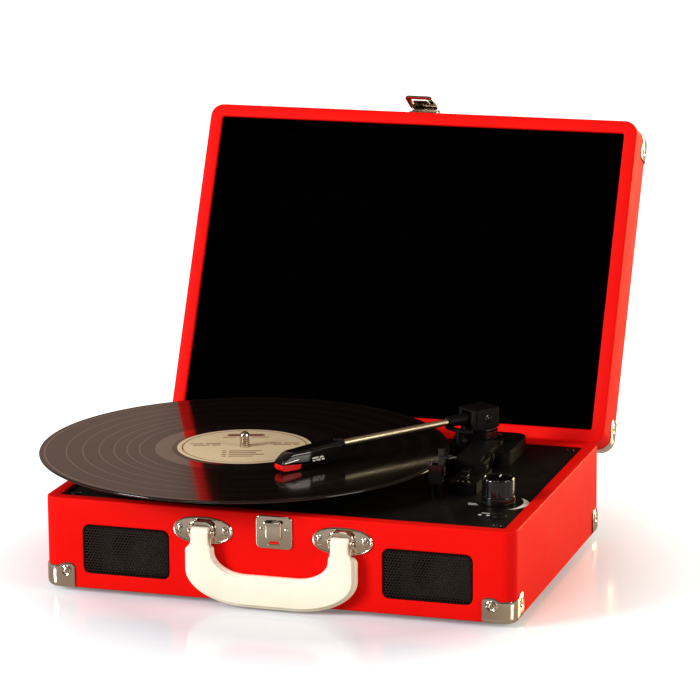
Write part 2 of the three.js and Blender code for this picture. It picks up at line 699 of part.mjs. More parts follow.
function lidLiner() {
  const air = GAP / 3;
  const outer = roundedBox(INNER_W - 2 * air, INNER_D - 2 * air, 2, CASE.base + 2, LID_TOP - 3 - air);
  const hollow = roundedBox(INNER_W - 2 * air - 2, INNER_D - 2 * air - 2, 1, CASE.base + 1, LID_TOP - 4 - air);
  return cut(outer, hollow);
}

function hingeLeafLid(s) {
  const x = s * HINGE.x;
  const y0 = HALF_D + GAP / 3;
  const plate = box(x - 18, x + 18, y0, y0 + 1.4, CASE.base + 2, CASE.base + 22);
  const neck = box(x - KNUCKLE.inner, x + KNUCKLE.inner, y0 + 0.2, y0 + 1.6, HINGE_Z, CASE.base + 4);
  const knuckle = rod(HINGE.radius, x - KNUCKLE.inner, x + KNUCKLE.inner, HINGE_Y, HINGE_Z);
  const bore = rod(bored(HINGE.pin), x - 30, x + 30, HINGE_Y, HINGE_Z);
  return cut(join(plate, neck, knuckle), bore);
}

const HASP_Y = FRONT - HASP.out;
const HASP_Z = CASE.base + HASP.hinge;
const EAR = { at: 9.8, half: 1.2, radius: 2.3 };

function latchPlate() {
  const outline = roundedOutline(2 * HASP.half, 22, 4, 0, CASE.base + 12.5);
  const ears = [-1, 1].map((t) => {
    const a = t * EAR.at;
    return join(
      box(a - EAR.half, a + EAR.half, HASP_Y, FRONT - 1, HASP_Z - EAR.radius, HASP_Z + EAR.radius),
      rod(EAR.radius, a - EAR.half, a + EAR.half, HASP_Y, HASP_Z),
    );
  });
  return join(panel(outline, FRONT - 1.2, FRONT), ...ears, rod(HASP.pin, -10, 10, HASP_Y, HASP_Z));
}

// Drawn hanging straight down from its knuckle, then lifted off the lid by its spring's angle.
function latchHasp() {
  const radius = 2.2;
  const inner = EAR.at - EAR.half - 0.4;
  const low = HASP_Z - HASP.length;
  const wingTop = HASP_Z - EAR.radius - 1.7;
  const face = HASP_Y - radius;
  const knuckle = rod(radius, -inner, inner, HASP_Y, HASP_Z);
  const tongue = roundedOutline(2 * inner, HASP.length, 3, 0, (HASP_Z + low) / 2);
  const wings = roundedOutline(2 * HASP.half, wingTop - low, 4, 0, (wingTop + low) / 2);
  const window = roundedOutline(2 * LATCH.tongue + 2, 12, 2, 0, low + 10);
  const body = cut(
    join(knuckle, panel(tongue, face, face + 1.4), panel(wings, face, face + 1.4)),
    panel(window, face - 1, face + 3),
    rod(bored(HASP.pin), -12, 12, HASP_Y, HASP_Z),
  );
  return body
    .translate([0, -HASP_Y, -HASP_Z])
    .rotate([-HASP.lift, 0, 0])
    .translate([0, HASP_Y, HASP_Z]);
}

// ---------------------------------------------------------------- handle
// Two straps loop over the bails, widen at the shoulders and meet in the grip.
const GRIP = {
  bottom: -2.2,
  shoulder: 39.5,
  top: 21.6,
  inset: 2.6,
  outer: { x: 46, z: 25 },
  inner: { x: 24, z: 15 },
};

function handleOutline() {
  const { x, half, strap, z } = HANDLE;
  const { bottom, shoulder, top, inset, outer, inner } = GRIP;
  const rim = x - strap - inset;
  const shape = new THREE.Shape();
  shape.moveTo(-half + outer.x, bottom);
  shape.lineTo(half - outer.x, bottom);
  shape.absellipse(half - outer.x, bottom + outer.z, outer.x, outer.z, -Math.PI / 2, 0);
  shape.lineTo(half, shoulder);
  shape.lineTo(x + strap, shoulder + 2);
  shape.lineTo(x + strap, z);
  shape.lineTo(x - strap, z);
  shape.lineTo(x - strap, shoulder + 1);
  shape.lineTo(rim, shoulder);
  shape.absellipse(rim - inner.x, top + inner.z, inner.x, inner.z, 0, -Math.PI / 2, true);
  shape.absellipse(-rim + inner.x, top + inner.z, inner.x, inner.z, -Math.PI / 2, -Math.PI, true);
  shape.lineTo(-rim, shoulder);
  shape.lineTo(-x + strap, shoulder + 1);
  shape.lineTo(-x + strap, z);
  shape.lineTo(-x - strap, z);
  shape.lineTo(-x - strap, shoulder + 2);
  shape.lineTo(-half, shoulder);
  shape.lineTo(-half, bottom + outer.z);
  shape.absellipse(-half + outer.x, bottom + outer.z, outer.x, outer.z, Math.PI, Math.PI * 1.5);
  return shape;
}

function handleGrip() {
  const { centre, strap, depth, bar, z } = HANDLE;
  const thick = depth / 2;
  const body = panel(handleOutline(), BAIL_Y - thick, BAIL_Y + thick, 6).translate([centre, 0, 0]);
  const across = (s, air) => [strapX(s) - strap - air, strapX(s) + strap + air];
  const loops = sides.map(([, s]) => rod(thick, ...across(s, 0), BAIL_Y, z, 20));
  const trim = sides.map(([, s]) => box(...across(s, 1), BAIL_Y - thick - 1, BAIL_Y + thick + 1, z, z + 8));
  const bores = sides.map(([, s]) => rod(bored(bar), ...across(s, 2), BAIL_Y, z));
  return cut(join(cut(body, ...trim), ...loops), ...bores);
}

// ---------------------------------------------------------------- assembly
const player = new THREE.Group();
const put = (name, body, material) => player.add(piece(name, body, material));

put('base_shell', baseShell(), red);
put('bottom_panel', bottomPanel(), black);
put('deck_plate', deckPlate(), black);
for (const [side, s] of sides) {
  put(`grille_${side}`, grille(s), black);
  put(`speaker_${side}`, speaker(s), card);
  put(`hinge_leaf_base_${side}`, hingeLeafBase(s), steel);
  put(`hinge_pin_${side}`, hingePin(s), steel);
  put(`handle_mount_${side}`, handleMount(s), chrome);
}
for (const [corner, sx, sy] of corners) {
  put(`foot_${corner}`, foot(sx, sy), rubber);
  put(`base_corner_${corner}`, cornerCap(sx, sy, false), chrome);
}
put('latch_catch', latchCatch(), chrome);
put('spindle_bearing', spindleBearing(), brass);
put('drive_motor', driveMotor(), steel);
put('drive_belt', driveBelt(), rubber);
put('circuit_board', circuitBoard(), board);
put('tonearm_base', tonearmBase(), black);
put('arm_rest', armRest(), gloss);
put('headphone_jack', headphoneJack(), black);
put('socket_panel', socketPanel(), black);
put('power_inlet', powerInlet(), black);
put('line_outputs', lineOutputs(), brass);

put('platter', platter(), black);
put('slip_mat', slipMat(), felt);
put('spindle', spindle(), chrome);
put('record', record(), vinyl);
put('motor_pulley', motorPulley(), brass);

put('cue_lever', cueLever(), black);
put('lift_post', liftPost(), black);
put('volume_knob', volumeKnob(), gloss);
put('speed_slider', slider(SPEED), gloss);
put('stop_slider', slider(STOP), gloss);
put('rest_lock', restLock(), gloss);
put('handle_grip', handleGrip(), ivory);

const arm = new THREE.Group();
arm.position.set(PIVOT.x, PIVOT.y, 0);
arm.rotation.z = THREE.MathUtils.degToRad(ARM.aim);
arm.add(piece('arm_turret', armTurret(), black));
arm.add(piece('arm_housing', armHousing(), black));
arm.add(piece('arm_sleeve', armSleeve(), black));
arm.add(piece('arm_tube', armTube(), champagne));
arm.add(piece('headshell', headshell(), black));
arm.add(piece('cartridge', cartridge(), guard));
player.add(arm);

const lid = new THREE.Group();
lid.position.set(0, HINGE_Y, HINGE_Z);
lid.rotation.x = -THREE.MathUtils.degToRad(HINGE.open);
const lidPieces = [
  piece('lid_shell', lidShell(), red),
  piece('lid_liner', lidLiner(), black),
  piece('latch_plate', latchPlate(), chrome),
  piece('latch_hasp', latchHasp(), chrome),
];
for (const [side, s] of sides) {
  lidPieces.push(piece(`hinge_leaf_lid_${side}`, hingeLeafLid(s), steel));
}
for (const [corner, sx, sy] of corners) {
  lidPieces.push(piece(`lid_corner_${corner}`, cornerCap(sx, sy, true), chrome));
}
for (const mesh of lidPieces) {
  mesh.position.set(0, -HINGE_Y, -HINGE_Z);
  lid.add(mesh);
}
player.add(lid);

export default player;
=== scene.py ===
"""Looks of a suitcase record player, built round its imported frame. Metres, +Z up, front at -Y."""

import json
import math

import bmesh
import bpy
from mathutils import Matrix, Vector

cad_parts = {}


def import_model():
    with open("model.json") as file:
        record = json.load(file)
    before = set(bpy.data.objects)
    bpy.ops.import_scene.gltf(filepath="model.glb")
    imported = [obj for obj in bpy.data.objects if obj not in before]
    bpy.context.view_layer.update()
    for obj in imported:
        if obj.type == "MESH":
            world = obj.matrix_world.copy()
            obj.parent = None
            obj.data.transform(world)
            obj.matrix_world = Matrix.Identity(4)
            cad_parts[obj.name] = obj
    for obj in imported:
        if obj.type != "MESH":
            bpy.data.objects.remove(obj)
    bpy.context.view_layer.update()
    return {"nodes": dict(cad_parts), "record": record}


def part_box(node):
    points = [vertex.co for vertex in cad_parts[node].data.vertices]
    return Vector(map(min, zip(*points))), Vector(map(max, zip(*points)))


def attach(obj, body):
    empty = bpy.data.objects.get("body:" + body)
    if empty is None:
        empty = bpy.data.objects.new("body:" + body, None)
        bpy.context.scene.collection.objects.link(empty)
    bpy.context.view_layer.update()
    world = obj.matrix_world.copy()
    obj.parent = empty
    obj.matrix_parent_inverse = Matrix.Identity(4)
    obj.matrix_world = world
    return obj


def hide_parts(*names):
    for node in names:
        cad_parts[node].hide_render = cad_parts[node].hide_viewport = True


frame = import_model()

MM = 0.001
joints = {j["name"]: j for j in frame["record"]["behaviour"]["joints"]}
body_of = {n: b for b, nodes in frame["record"]["behaviour"]["bodies"].items() for n in nodes}
slot_of = {s["node"]: s["material_slot"] for s in frame["record"]["subparts"]}


def corners(node):
    """A CAD node's lowest and highest corner."""
    low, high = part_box(node)
    return Vector(low), Vector(high)


# Driving places, read from the frame.
base_low, base_high = corners("base_shell")
CASE_W = base_high.x - base_low.x
CASE_D = base_high.y - base_low.y
CASE_H = base_high.z
FRONT = base_low.y
BACK = base_high.y
DECK = corners("deck_plate")[1].z
FLOOR = corners("foot_front_left")[0].z
HINGE = Vector(joints["lid_hinge"]["pos_m"])
PIVOT = Vector(joints["arm_lift"]["pos_m"])
SPINDLE = Vector(joints["platter_spin"]["pos_m"])
KNOB = Vector(joints["volume_turn"]["pos_m"])
BAIL = Vector(joints["handle_hinge"]["pos_m"])

# Case and lid.
WALL = 10 * MM
CORNER = 10 * MM
WRAP_EDGE = 1.3 * MM
INNER_EDGE = 1.2 * MM
LID_DEEP = 40 * MM
LID_TOP = CASE_H + LID_DEEP
LID_SKIN = 3 * MM
LID_EDGE = 3.5 * MM
LID_OPEN = math.radians(115.6)
WINDOW_GAP = 0.6 * MM

# Grilles and corner caps.
GRILLE_PITCH = 2.3 * MM
GRILLE_HOLE = 0.84 * MM
SHEET = 0.4 * MM
CAP_REACH = 23 * MM
CAP_TALL = 18 * MM
CAP_THICK = 0.9 * MM
CAP_ROLL = 4.2 * MM
CAP_SCREW = 12.2 * MM

# Handle, with the bails that it hangs from to each side of its middle.
BAIL_X = 51.6 * MM
BAIL_HALF = 8.4 * MM
ARCH_BAR = 1.2 * MM
STRAP = 6.5 * MM
HANDLE_HALF = 63.4 * MM
HANDLE_LOW = -2.2 * MM
SHOULDER = 40 * MM

# The hasp's hinge, out from the lid's front and up from its rim, and how it stands off the lid.
HASP_OUT = 3.5 * MM
HASP_UP = 14 * MM
HASP_LIFT = math.radians(-6.5)

# Record and tonearm; the bands' radii and half width are in millimetres.
BORE = 3.9 * MM
PIN = 3.6 * MM
LABEL_RADIUS = 50 * MM
RECORD_BANDS = (131, 119, 107, 96, 86.5, 77.5)
BAND_HALF = 0.45
TUBE = 2.5 * MM
ARM_AIM = math.radians(234.5)

# Thickness of printed marks.
INK = 0.06 * MM

LID_TURN = Matrix.Translation(HINGE) @ Matrix.Rotation(-LID_OPEN, 4, "X") @ Matrix.Translation(-HINGE)
ON_FRONT = Matrix.Translation((0, FRONT, 0)) @ Matrix.Rotation(math.radians(90), 4, "X")
AT_SPINDLE = Matrix.Translation((SPINDLE.x, SPINDLE.y, 0))
AT_PIVOT = Matrix.Translation((PIVOT.x, PIVOT.y, 0))
ARM_TURN = AT_PIVOT @ Matrix.Rotation(ARM_AIM, 4, "Z")


# -------- numbers
def in_mm(*points):
    """Points given in millimetres, as tuples in metres."""
    return [tuple(value * MM for value in point) for point in points]


def sweep(start, end, steps):
    """Angles in radians from start to end degrees in equal steps, both ends included."""
    return [math.radians(start + (end - start) * i / steps) for i in range(steps + 1)]


def arc(x, y, wide, tall, start, end, steps):
    """Points of an ellipse about (x, y) from start to end degrees, both ends included."""
    return [(x + wide * math.cos(a), y + tall * math.sin(a)) for a in sweep(start, end, steps)]


def ease(t):
    """A smooth step from 0 to 1."""
    return t * t * (3 - 2 * t)


def squared(value, power):
    """A sine or cosine pushed outwards, which turns an oval towards its box."""
    return math.copysign(abs(value) ** power, value)


# -------- materials
def add(tree, kind, values, **settings):
    """A new node. Each value is a constant for its input, or the socket that feeds it."""
    node = tree.nodes.new("ShaderNode" + kind)
    for key, value in settings.items():
        setattr(node, key, value)
    for key, value in values.items():
        if isinstance(value, bpy.types.NodeSocket):
            tree.links.new(value, node.inputs[key])
        else:
            node.inputs[key].default_value = value
    return node


def shader(name, color, rough, metal=0.0, coat=0.0, spec=0.5):
    """A material with its node tree and its Principled shader."""
    mat = bpy.data.materials.new(name)
    mat.use_nodes = True
    tree = mat.node_tree
    node = tree.nodes["Principled BSDF"]
    node.inputs["Base Color"].default_value = (*color, 1)
    node.inputs["Roughness"].default_value = rough
    node.inputs["Metallic"].default_value = metal
    node.inputs["Coat Weight"].default_value = coat
    node.inputs["Specular IOR Level"].default_value = spec
    return mat, tree, node


def place(tree):
    """The object's own coordinates."""
    return add(tree, "TexCoord", {}).outputs["Object"]


def noise(tree, scale, detail=3.0, rough=0.5):
    values = {"Scale": scale, "Detail": detail, "Roughness": rough, "Vector": place(tree)}
    return add(tree, "TexNoise", values).outputs["Fac"]


def cells(tree, scale):
    """Rounded pebbles."""
    values = {"Scale": scale, "Smoothness": 0.6, "Vector": place(tree)}
    return add(tree, "TexVoronoi", values, feature="SMOOTH_F1").outputs["Distance"]


def spread(tree, source, low, high, from_low=0.3, from_high=0.7):
    """Maps a source to the range from low to high."""
    values = {"Value": source, "From Min": from_low, "From Max": from_high, "To Min": low, "To Max": high}
    return add(tree, "MapRange", values).outputs["Result"]


def uneven(tree, shader_node, scale, detail, low, high):
    """Roughness that wanders between two values."""
    tree.links.new(spread(tree, noise(tree, scale, detail), low, high), shader_node.inputs["Roughness"])


def tint(tree, shader_node, source, dark, light, low=0.3, high=0.7):
    """Base colour that follows a source from dark to light."""
    ramp = add(tree, "ValToRGB", {"Fac": source})
    first, last = ramp.color_ramp.elements
    first.position = low
    last.position = high
    first.color = (*dark, 1)
    last.color = (*light, 1)
    tree.links.new(ramp.outputs["Color"], shader_node.inputs["Base Color"])


def bump(tree, shader_node, source, strength, distance, before=None):
    """Fine relief, over another relief if one is given."""
    values = {"Strength": strength, "Distance": distance, "Height": source}
    if before:
        values["Normal"] = before
    normal = add(tree, "Bump", values).outputs["Normal"]
    tree.links.new(normal, shader_node.inputs["Normal"])
    return normal


def leatherette():
    """Red wrapped leatherette: fine pebble grain under a satin skin that hardly mirrors."""
    mat, tree, node = shader("red leatherette", (0.80, 0.004, 0.0025), 0.5, spec=0.05)
    tint(tree, node, noise(tree, 9, 2), (0.78, 0.0035, 0.002), (0.82, 0.005, 0.003))
    uneven(tree, node, 40, 2, 0.47, 0.53)
    grain = bump(tree, node, cells(tree, 1400), 0.12, 0.00006)
    bump(tree, node, noise(tree, 3200, 2), 0.08, 0.00004, grain)
    return mat


def moulded(name, color, rough, grain=1800, depth=0.00006, spec=0.4):
    """Moulded plastic with a spark-eroded texture and slight handling marks."""
    mat, tree, node = shader(name, color, rough, spec=spec)
    light = tuple(c * 1.3 for c in color)
    tint(tree, node, noise(tree, 35, 4), color, light)
    uneven(tree, node, 90, 5, rough - 0.06, rough + 0.08)
    bump(tree, node, noise(tree, grain, 3), 0.3, depth)
    return mat


def polished(name, color, rough, coat=0.6):
    """Glossy plastic: clear coat over a faintly uneven skin."""
    mat, tree, node = shader(name, color, rough, coat=coat, spec=0.35)
    light = tuple(min(1.0, c * 1.12) for c in color)
    tint(tree, node, noise(tree, 20, 3), color, light)
    uneven(tree, node, 120, 5, rough * 0.8, rough * 1.5)
    node.inputs["Coat Roughness"].default_value = 0.04
    return mat


def plated(name, color, rough):
    """Plated or turned metal with faint smudges and a slightly wavy pressing."""
    mat, tree, node = shader(name, color, rough, metal=1.0)
    dark = tuple(c * 0.9 for c in color)
    tint(tree, node, noise(tree, 30, 3), dark, color)
    uneven(tree, node, 70, 4, rough * 0.8, rough * 1.5)
    bump(tree, node, noise(tree, 90, 1), 0.03, 0.0004)
    return mat


def anodised():
    """Drawn tube: a smooth champagne anodised skin, a little duller in places."""
    mat, tree, node = shader("champagne tube", (0.78, 0.70, 0.47), 0.3, metal=1.0)
    tint(tree, node, noise(tree, 25, 2), (0.74, 0.66, 0.43), (0.80, 0.72, 0.50))
    uneven(tree, node, 60, 3, 0.27, 0.33)
    return mat


def radius_from(tree, centre):
    """Distance from the upright axis through centre, in metres."""
    values = {0: place(tree), 1: (1, 1, 0), 2: (-centre.x, -centre.y, 0)}
    shift = add(tree, "VectorMath", values, operation="MULTIPLY_ADD").outputs["Vector"]
    return add(tree, "VectorMath", {0: shift}, operation="LENGTH").outputs["Value"]


def rings(tree, source, pitch):
    """A sine of the radius: concentric ridges of that pitch."""
    turns = add(tree, "Math", {0: source, 1: 2 * math.pi / pitch}, operation="MULTIPLY").outputs["Value"]
    return add(tree, "Math", {0: turns}, operation="SINE").outputs["Value"]


def vinyl():
    """Pressed vinyl: a brown-black whose shade and gloss vary a little in rings."""
    mat, tree, node = shader("grooved vinyl", (0.008, 0.005, 0.004), 0.11, spec=0.4)
    away = radius_from(tree, SPINDLE)
    tint(tree, node, rings(tree, away, 0.0163), (0.007, 0.0045, 0.0035), (0.010, 0.006, 0.005), 0, 1)
    tree.links.new(spread(tree, rings(tree, away, 0.0041), 0.09, 0.13, -1, 1), node.inputs["Roughness"])
    node.inputs["Anisotropic"].default_value = 0.1
    tangent = add(tree, "Tangent", {}, direction_type="RADIAL", axis="Z")
    tree.links.new(tangent.outputs["Tangent"], node.inputs["Tangent"])
    return mat


def felt():
    mat, tree, node = shader("black felt", (0.012, 0.012, 0.012), 0.95)
    node.inputs["Sheen Weight"].default_value = 0.4
    tint(tree, node, noise(tree, 700, 5), (0.006, 0.006, 0.006), (0.03, 0.03, 0.03))
    bump(tree, node, noise(tree, 1500, 6, 0.7), 0.8, 0.0003)
    return mat


def paper(name, color):
    """Paper, printing ink or pressed pulp."""
    mat, tree, node = shader(name, color, 0.75)
    dark = tuple(c * 0.9 for c in color)
    tint(tree, node, noise(tree, 400, 6), dark, color)
    bump(tree, node, noise(tree, 1200, 5), 0.25, 0.00005)
    return mat


MATERIALS = {
    "red_leatherette": leatherette(),
    "black_plastic": moulded("black moulded plastic", (0.003, 0.0026, 0.0024), 0.5, spec=0.08),
    "gloss_black": polished("gloss black", (0.004, 0.0035, 0.0035), 0.09, 0.3),
    "black_lining": moulded("black lining", (0.0003, 0.0003, 0.0003), 0.9, 900, 0.00002, 0.0),
    "ivory_plastic": polished("ivory plastic", (0.90, 0.86, 0.72), 0.35, 0.1),
    "chrome": plated("chrome", (0.62, 0.55, 0.46), 0.07),
    "steel": plated("zinc plated steel", (0.40, 0.38, 0.36), 0.3),
    "brass": plated("turned brass", (0.72, 0.55, 0.28), 0.25),
    "champagne_tube": anodised(),
    "rubber": moulded("black rubber", (0.010, 0.010, 0.010), 0.85, 1200, 0.0001, 0.2),
    "vinyl": vinyl(),
    "felt": felt(),
    "circuit": moulded("green laminate", (0.02, 0.14, 0.05), 0.45, 700),
    "speaker_cone": paper("pressed cone", (0.045, 0.035, 0.028)),
    "red_guard": polished("red guard", (0.80, 0.008, 0.006), 0.25, 0.1),
}
LABEL = paper("label paper", (0.81, 0.65, 0.40))
LABEL_LINE = paper("label ink", (0.19, 0.035, 0.025))
PRINT = paper("white print", (0.80, 0.78, 0.74))
MESH = moulded("grille enamel", (0.011, 0.007, 0.0055), 0.4, spec=0.1)
# Glossy smooth bands, a little lighter than the vinyl: a painted sheen.
SHEEN_BAND = polished("pressed band with painted sheen", (0.013, 0.009, 0.0075), 0.12, 0.8)


# -------- mesh building
def new_object(name, data):
    """An object in the scene's collection."""
    piece = bpy.data.objects.new(name, data)
    bpy.context.collection.objects.link(piece)
    return piece


def mesh_object(name, bm):
    """Turns a bmesh into an object whose faces point outwards."""
    bmesh.ops.recalc_face_normals(bm, faces=bm.faces)
    mesh = bpy.data.meshes.new(name)
    bm.to_mesh(mesh)
    bm.free()
    return new_object(name, mesh)


def smooth(mesh, angle=35):
    """Shades a mesh smooth but for edges sharper than an angle in degrees."""
    mesh.shade_smooth()
    mesh.set_sharp_from_angle(angle=math.radians(angle))


def finish_mesh(name, bm, body, slot, replaces=(), angle=35, mat=None):
    """Turns a bmesh into a named piece that rides on a body and wears its slot's material."""
    piece = mesh_object(name, bm)
    smooth(piece.data, angle)
    piece.data.materials.append(mat or MATERIALS[slot])
    if replaces:
        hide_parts(*replaces)
    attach(piece, body)
    return piece


def dress(node, bm, angle=35, slot=None):
    """A mesh that stands in for a CAD node, on its body and in its slot or a better one."""
    return finish_mesh(node + "_look", bm, body_of[node], slot or slot_of[node], [node], angle)


def soften(piece, width, segments=3, angle=35):
    """Rounds the sharp edges of a piece."""
    edge = piece.modifiers.new("edges", "BEVEL")
    edge.width = width
    edge.segments = segments
    edge.limit_method = "ANGLE"
    edge.angle_limit = math.radians(angle)
    edge.harden_normals = True


def turn(bm, matrix):
    bmesh.ops.transform(bm, matrix=matrix, verts=bm.verts)
    return bm


def loft(bm, loops, closed_path=False):
    """Quads between loops of equal length; the ends are capped, or the last joins the first."""
    rows = [[bm.verts.new(p) for p in loop] for loop in loops]
    pairs = list(zip(rows, rows[1:]))
    if closed_path:
        pairs.append((rows[-1], rows[0]))
    count = len(rows[0])
    for low, high in pairs:
        for i in range(count):
            j = (i + 1) % count
            bm.faces.new((low[i], low[j], high[j], high[i]))
    if not closed_path:
        bm.faces.new(rows[0][::-1])
        bm.faces.new(rows[-1])
    return rows


def rounded(width, height, radius, steps=10, x=0.0, y=0.0):
    """A rounded rectangle as (x, y) points, anticlockwise."""
    points = []
    for cx, cy, start in ((1, -1, -90), (1, 1, 0), (-1, 1, 90), (-1, -1, 180)):
        px = x + cx * (width / 2 - radius)
        py = y + cy * (height / 2 - radius)
        points += arc(px, py, radius, radius, start, start + 90, steps)
    return points


def circle(radius, steps, x=0.0, y=0.0):
    angles = [2 * math.pi * i / steps for i in range(steps)]
    return [(x + radius * math.cos(a), y + radius * math.sin(a)) for a in angles]


def lathe(bm, profile, steps, matrix):
    """Turns (radius, z) points about Z. A closed profile repeats its first point."""
    made = []
    spun = []
    for r, z in profile:
        if r < 1e-7:
            spun.append([bm.verts.new((0, 0, z))])
        else:
            spun.append([bm.verts.new((x, y, z)) for x, y in circle(r, steps)])
        made += spun[-1]
    for low, high in zip(spun, spun[1:]):
        for i in range(steps):
            j = (i + 1) % steps
            ring = [low[i % len(low)], low[j % len(low)], high[j % len(high)], high[i % len(high)]]
            face = list(dict.fromkeys(ring))
            if len(face) > 2:
                bm.faces.new(face)
    bmesh.ops.remove_doubles(bm, verts=made, dist=1e-8)
    bmesh.ops.transform(bm, matrix=matrix, verts=[v for v in made if v.is_valid])


def at(point, axis, flip=False):
    """Places a piece made about Z at a point, its top towards +axis (or -axis)."""
    about, angle = {"X": ("Y", 90), "Y": ("X", -90)}[axis]
    return Matrix.Translation(point) @ Matrix.Rotation(math.radians(angle + (180 if flip else 0)), 4, about)


def slab(bm, outline, low, high, edge=0.0, steps=3, matrix=None):
    """An outline raised along Z, with its upper edge pulled in round a curve of that size."""
    cx = sum(p[0] for p in outline) / len(outline)
    cy = sum(p[1] for p in outline) / len(outline)
    wide = max(abs(p[0] - cx) for p in outline)
    tall = max(abs(p[1] - cy) for p in outline)
    loops = [[(x, y, low) for x, y in outline]]
    for a in sweep(0, 90, steps) if edge else [0]:
        pull = edge * (1 - math.cos(a))
        z = high - edge + edge * math.sin(a)
        sx = (wide - pull) / wide
        sy = (tall - pull) / tall
        loops.append([(cx + (x - cx) * sx, cy + (y - cy) * sy, z) for x, y in outline])
    rows = loft(bm, loops)
    if matrix:
        bmesh.ops.transform(bm, matrix=matrix, verts=[v for row in rows for v in row])


def block(bm, low, high, matrix=None):
    """A plain block between two corners."""
    made = bmesh.ops.create_cube(bm, size=1)["verts"]
    size = Vector(high) - Vector(low)
    middle = (Vector(high) + Vector(low)) / 2
    move = Matrix.Translation(middle) @ Matrix.Diagonal((*size, 1))
    bmesh.ops.transform(bm, matrix=(matrix or Matrix()) @ move, verts=made)


def bar(bm, start, end, radius, steps=16):
    """A round bar between two points."""
    start, end = Vector(start), Vector(end)
    along = end - start
    spin = along.to_track_quat("Z", "Y").to_matrix().to_4x4()
    profile = [(0, 0), (radius, 0), (radius, along.length), (0, along.length)]
    lathe(bm, profile, steps, Matrix.Translation(start) @ spin)


def carved(piece, cutters):
    """Takes each cutter's shape out of a piece, for good."""
    for cutter in cutters:
        mod = piece.modifiers.new("cut", "BOOLEAN")
        mod.object = cutter
        mod.operation = "DIFFERENCE"
        mod.solver = "EXACT"
    graph = bpy.context.evaluated_depsgraph_get()
    mesh = bpy.data.meshes.new_from_object(piece.evaluated_get(graph))
    piece.modifiers.clear()
    piece.data = mesh
    for cutter in cutters:
        bpy.data.objects.remove(cutter)
    smooth(mesh)


def refined(node, width, segments=3):
    """A CAD node with its triangles merged into whole faces and its edges rounded."""
    bm = bmesh.new()
    bm.from_mesh(frame["nodes"][node].data)
    bmesh.ops.remove_doubles(bm, verts=bm.verts, dist=1e-6)
    bmesh.ops.dissolve_limit(bm, angle_limit=math.radians(2), verts=bm.verts, edges=bm.edges)
    soften(dress(node, bm), width, segments)


def screw(bm, matrix, radius=2.2 * MM, high=0.9 * MM):
    """A domed cross-head screw, its head towards +Z."""
    rim = 0.2 * MM
    profile = [(radius, -0.3 * MM), (radius, rim)]
    profile += arc(0, rim, radius, high - rim, 0, 90, 5)[1:]
    lathe(bm, profile, 24, matrix)
    wide, deep = radius * 0.16, radius * 0.62
    for sx, sy in ((deep, wide), (wide, deep)):
        block(bm, (-sx, -sy, high * 0.45), (sx, sy, high * 1.04), matrix)


# -------- camera, light, floor
CAMERA_AT = (0.7457, -2.3322, 0.7261)
YAW, PITCH, ROLL = (math.radians(a) for a in (-17.38, -13.13, -0.43))
LENS = 177.5

# Name, place, aim, side, power and colour of each square lamp.
LAMPS = (
    ("key", (-2.0, -1.9, 1.1), (0, 0, 0.1), 0.9, 88, (1, 1, 1)),
    ("side", (2.2, -0.6, 0.8), (0, 0, 0.05), 0.9, 27, (1, 0.93, 0.84)),
    ("edge", (1.5, 2.4, 0.5), (0.17, 0, 0.03), 1.4, 74, (1, 0.88, 0.46)),
    ("rear", (-2.15, 2.1, 1.0), (-0.2, 0, 0.1), 2.6, 7, (1, 0.62, 0.47)),
    ("lid", (-0.3, -1.6, 1.5), (0, 0.2, 0.2), 0.6, 6, (1, 1, 1)),
)


def camera():
    ahead = Vector((math.sin(YAW) * math.cos(PITCH), math.cos(YAW) * math.cos(PITCH), math.sin(PITCH)))
    right = Vector((math.cos(YAW), -math.sin(YAW), 0))
    up = right.cross(ahead)
    c, s = math.cos(ROLL), math.sin(ROLL)
    across, over = c * right + s * up, -s * right + c * up
    turned = Matrix((across, over, -ahead)).transposed().to_4x4()
    data = bpy.data.cameras.new("camera")
    data.sensor_width = 36
    data.lens = LENS
    data.shift_x = 0.0023
    data.shift_y = 0.001
    data.clip_end = 50
    eye = new_object("camera", data)
    eye.matrix_world = Matrix.Translation(CAMERA_AT) @ turned
    bpy.context.scene.camera = eye


def lamp(name, spot, target, side, power, color):
    data = bpy.data.lights.new(name, "AREA")
    data.shape = "RECTANGLE"
    data.size = side
    data.size_y = side
    data.energy = power
    data.color = color
    aim = (Vector(target) - Vector(spot)).to_track_quat("-Z", "Y").to_matrix().to_4x4()
    new_object(name, data).matrix_world = Matrix.Translation(spot) @ aim


def camera_ray(tree):
    """1 for what the camera sees directly, 0 for light and reflections."""
    return add(tree, "LightPath", {}).outputs["Is Camera Ray"]


def room():
    """White to look at; dim and warm to be lit by and mirrored."""
    scene = bpy.context.scene
    scene.view_settings.view_transform = "Standard"
    world = bpy.data.worlds.new("studio")
    scene.world = world
    world.use_nodes = True
    tree = world.node_tree
    values = {"Factor": camera_ray(tree), "A": (0.15, 0.118, 0.097, 1), "B": (1, 1, 1, 1)}
    shade = add(tree, "Mix", values, data_type="RGBA")
    tree.links.new(shade.outputs["Result"], tree.nodes["Background"].inputs["Color"])


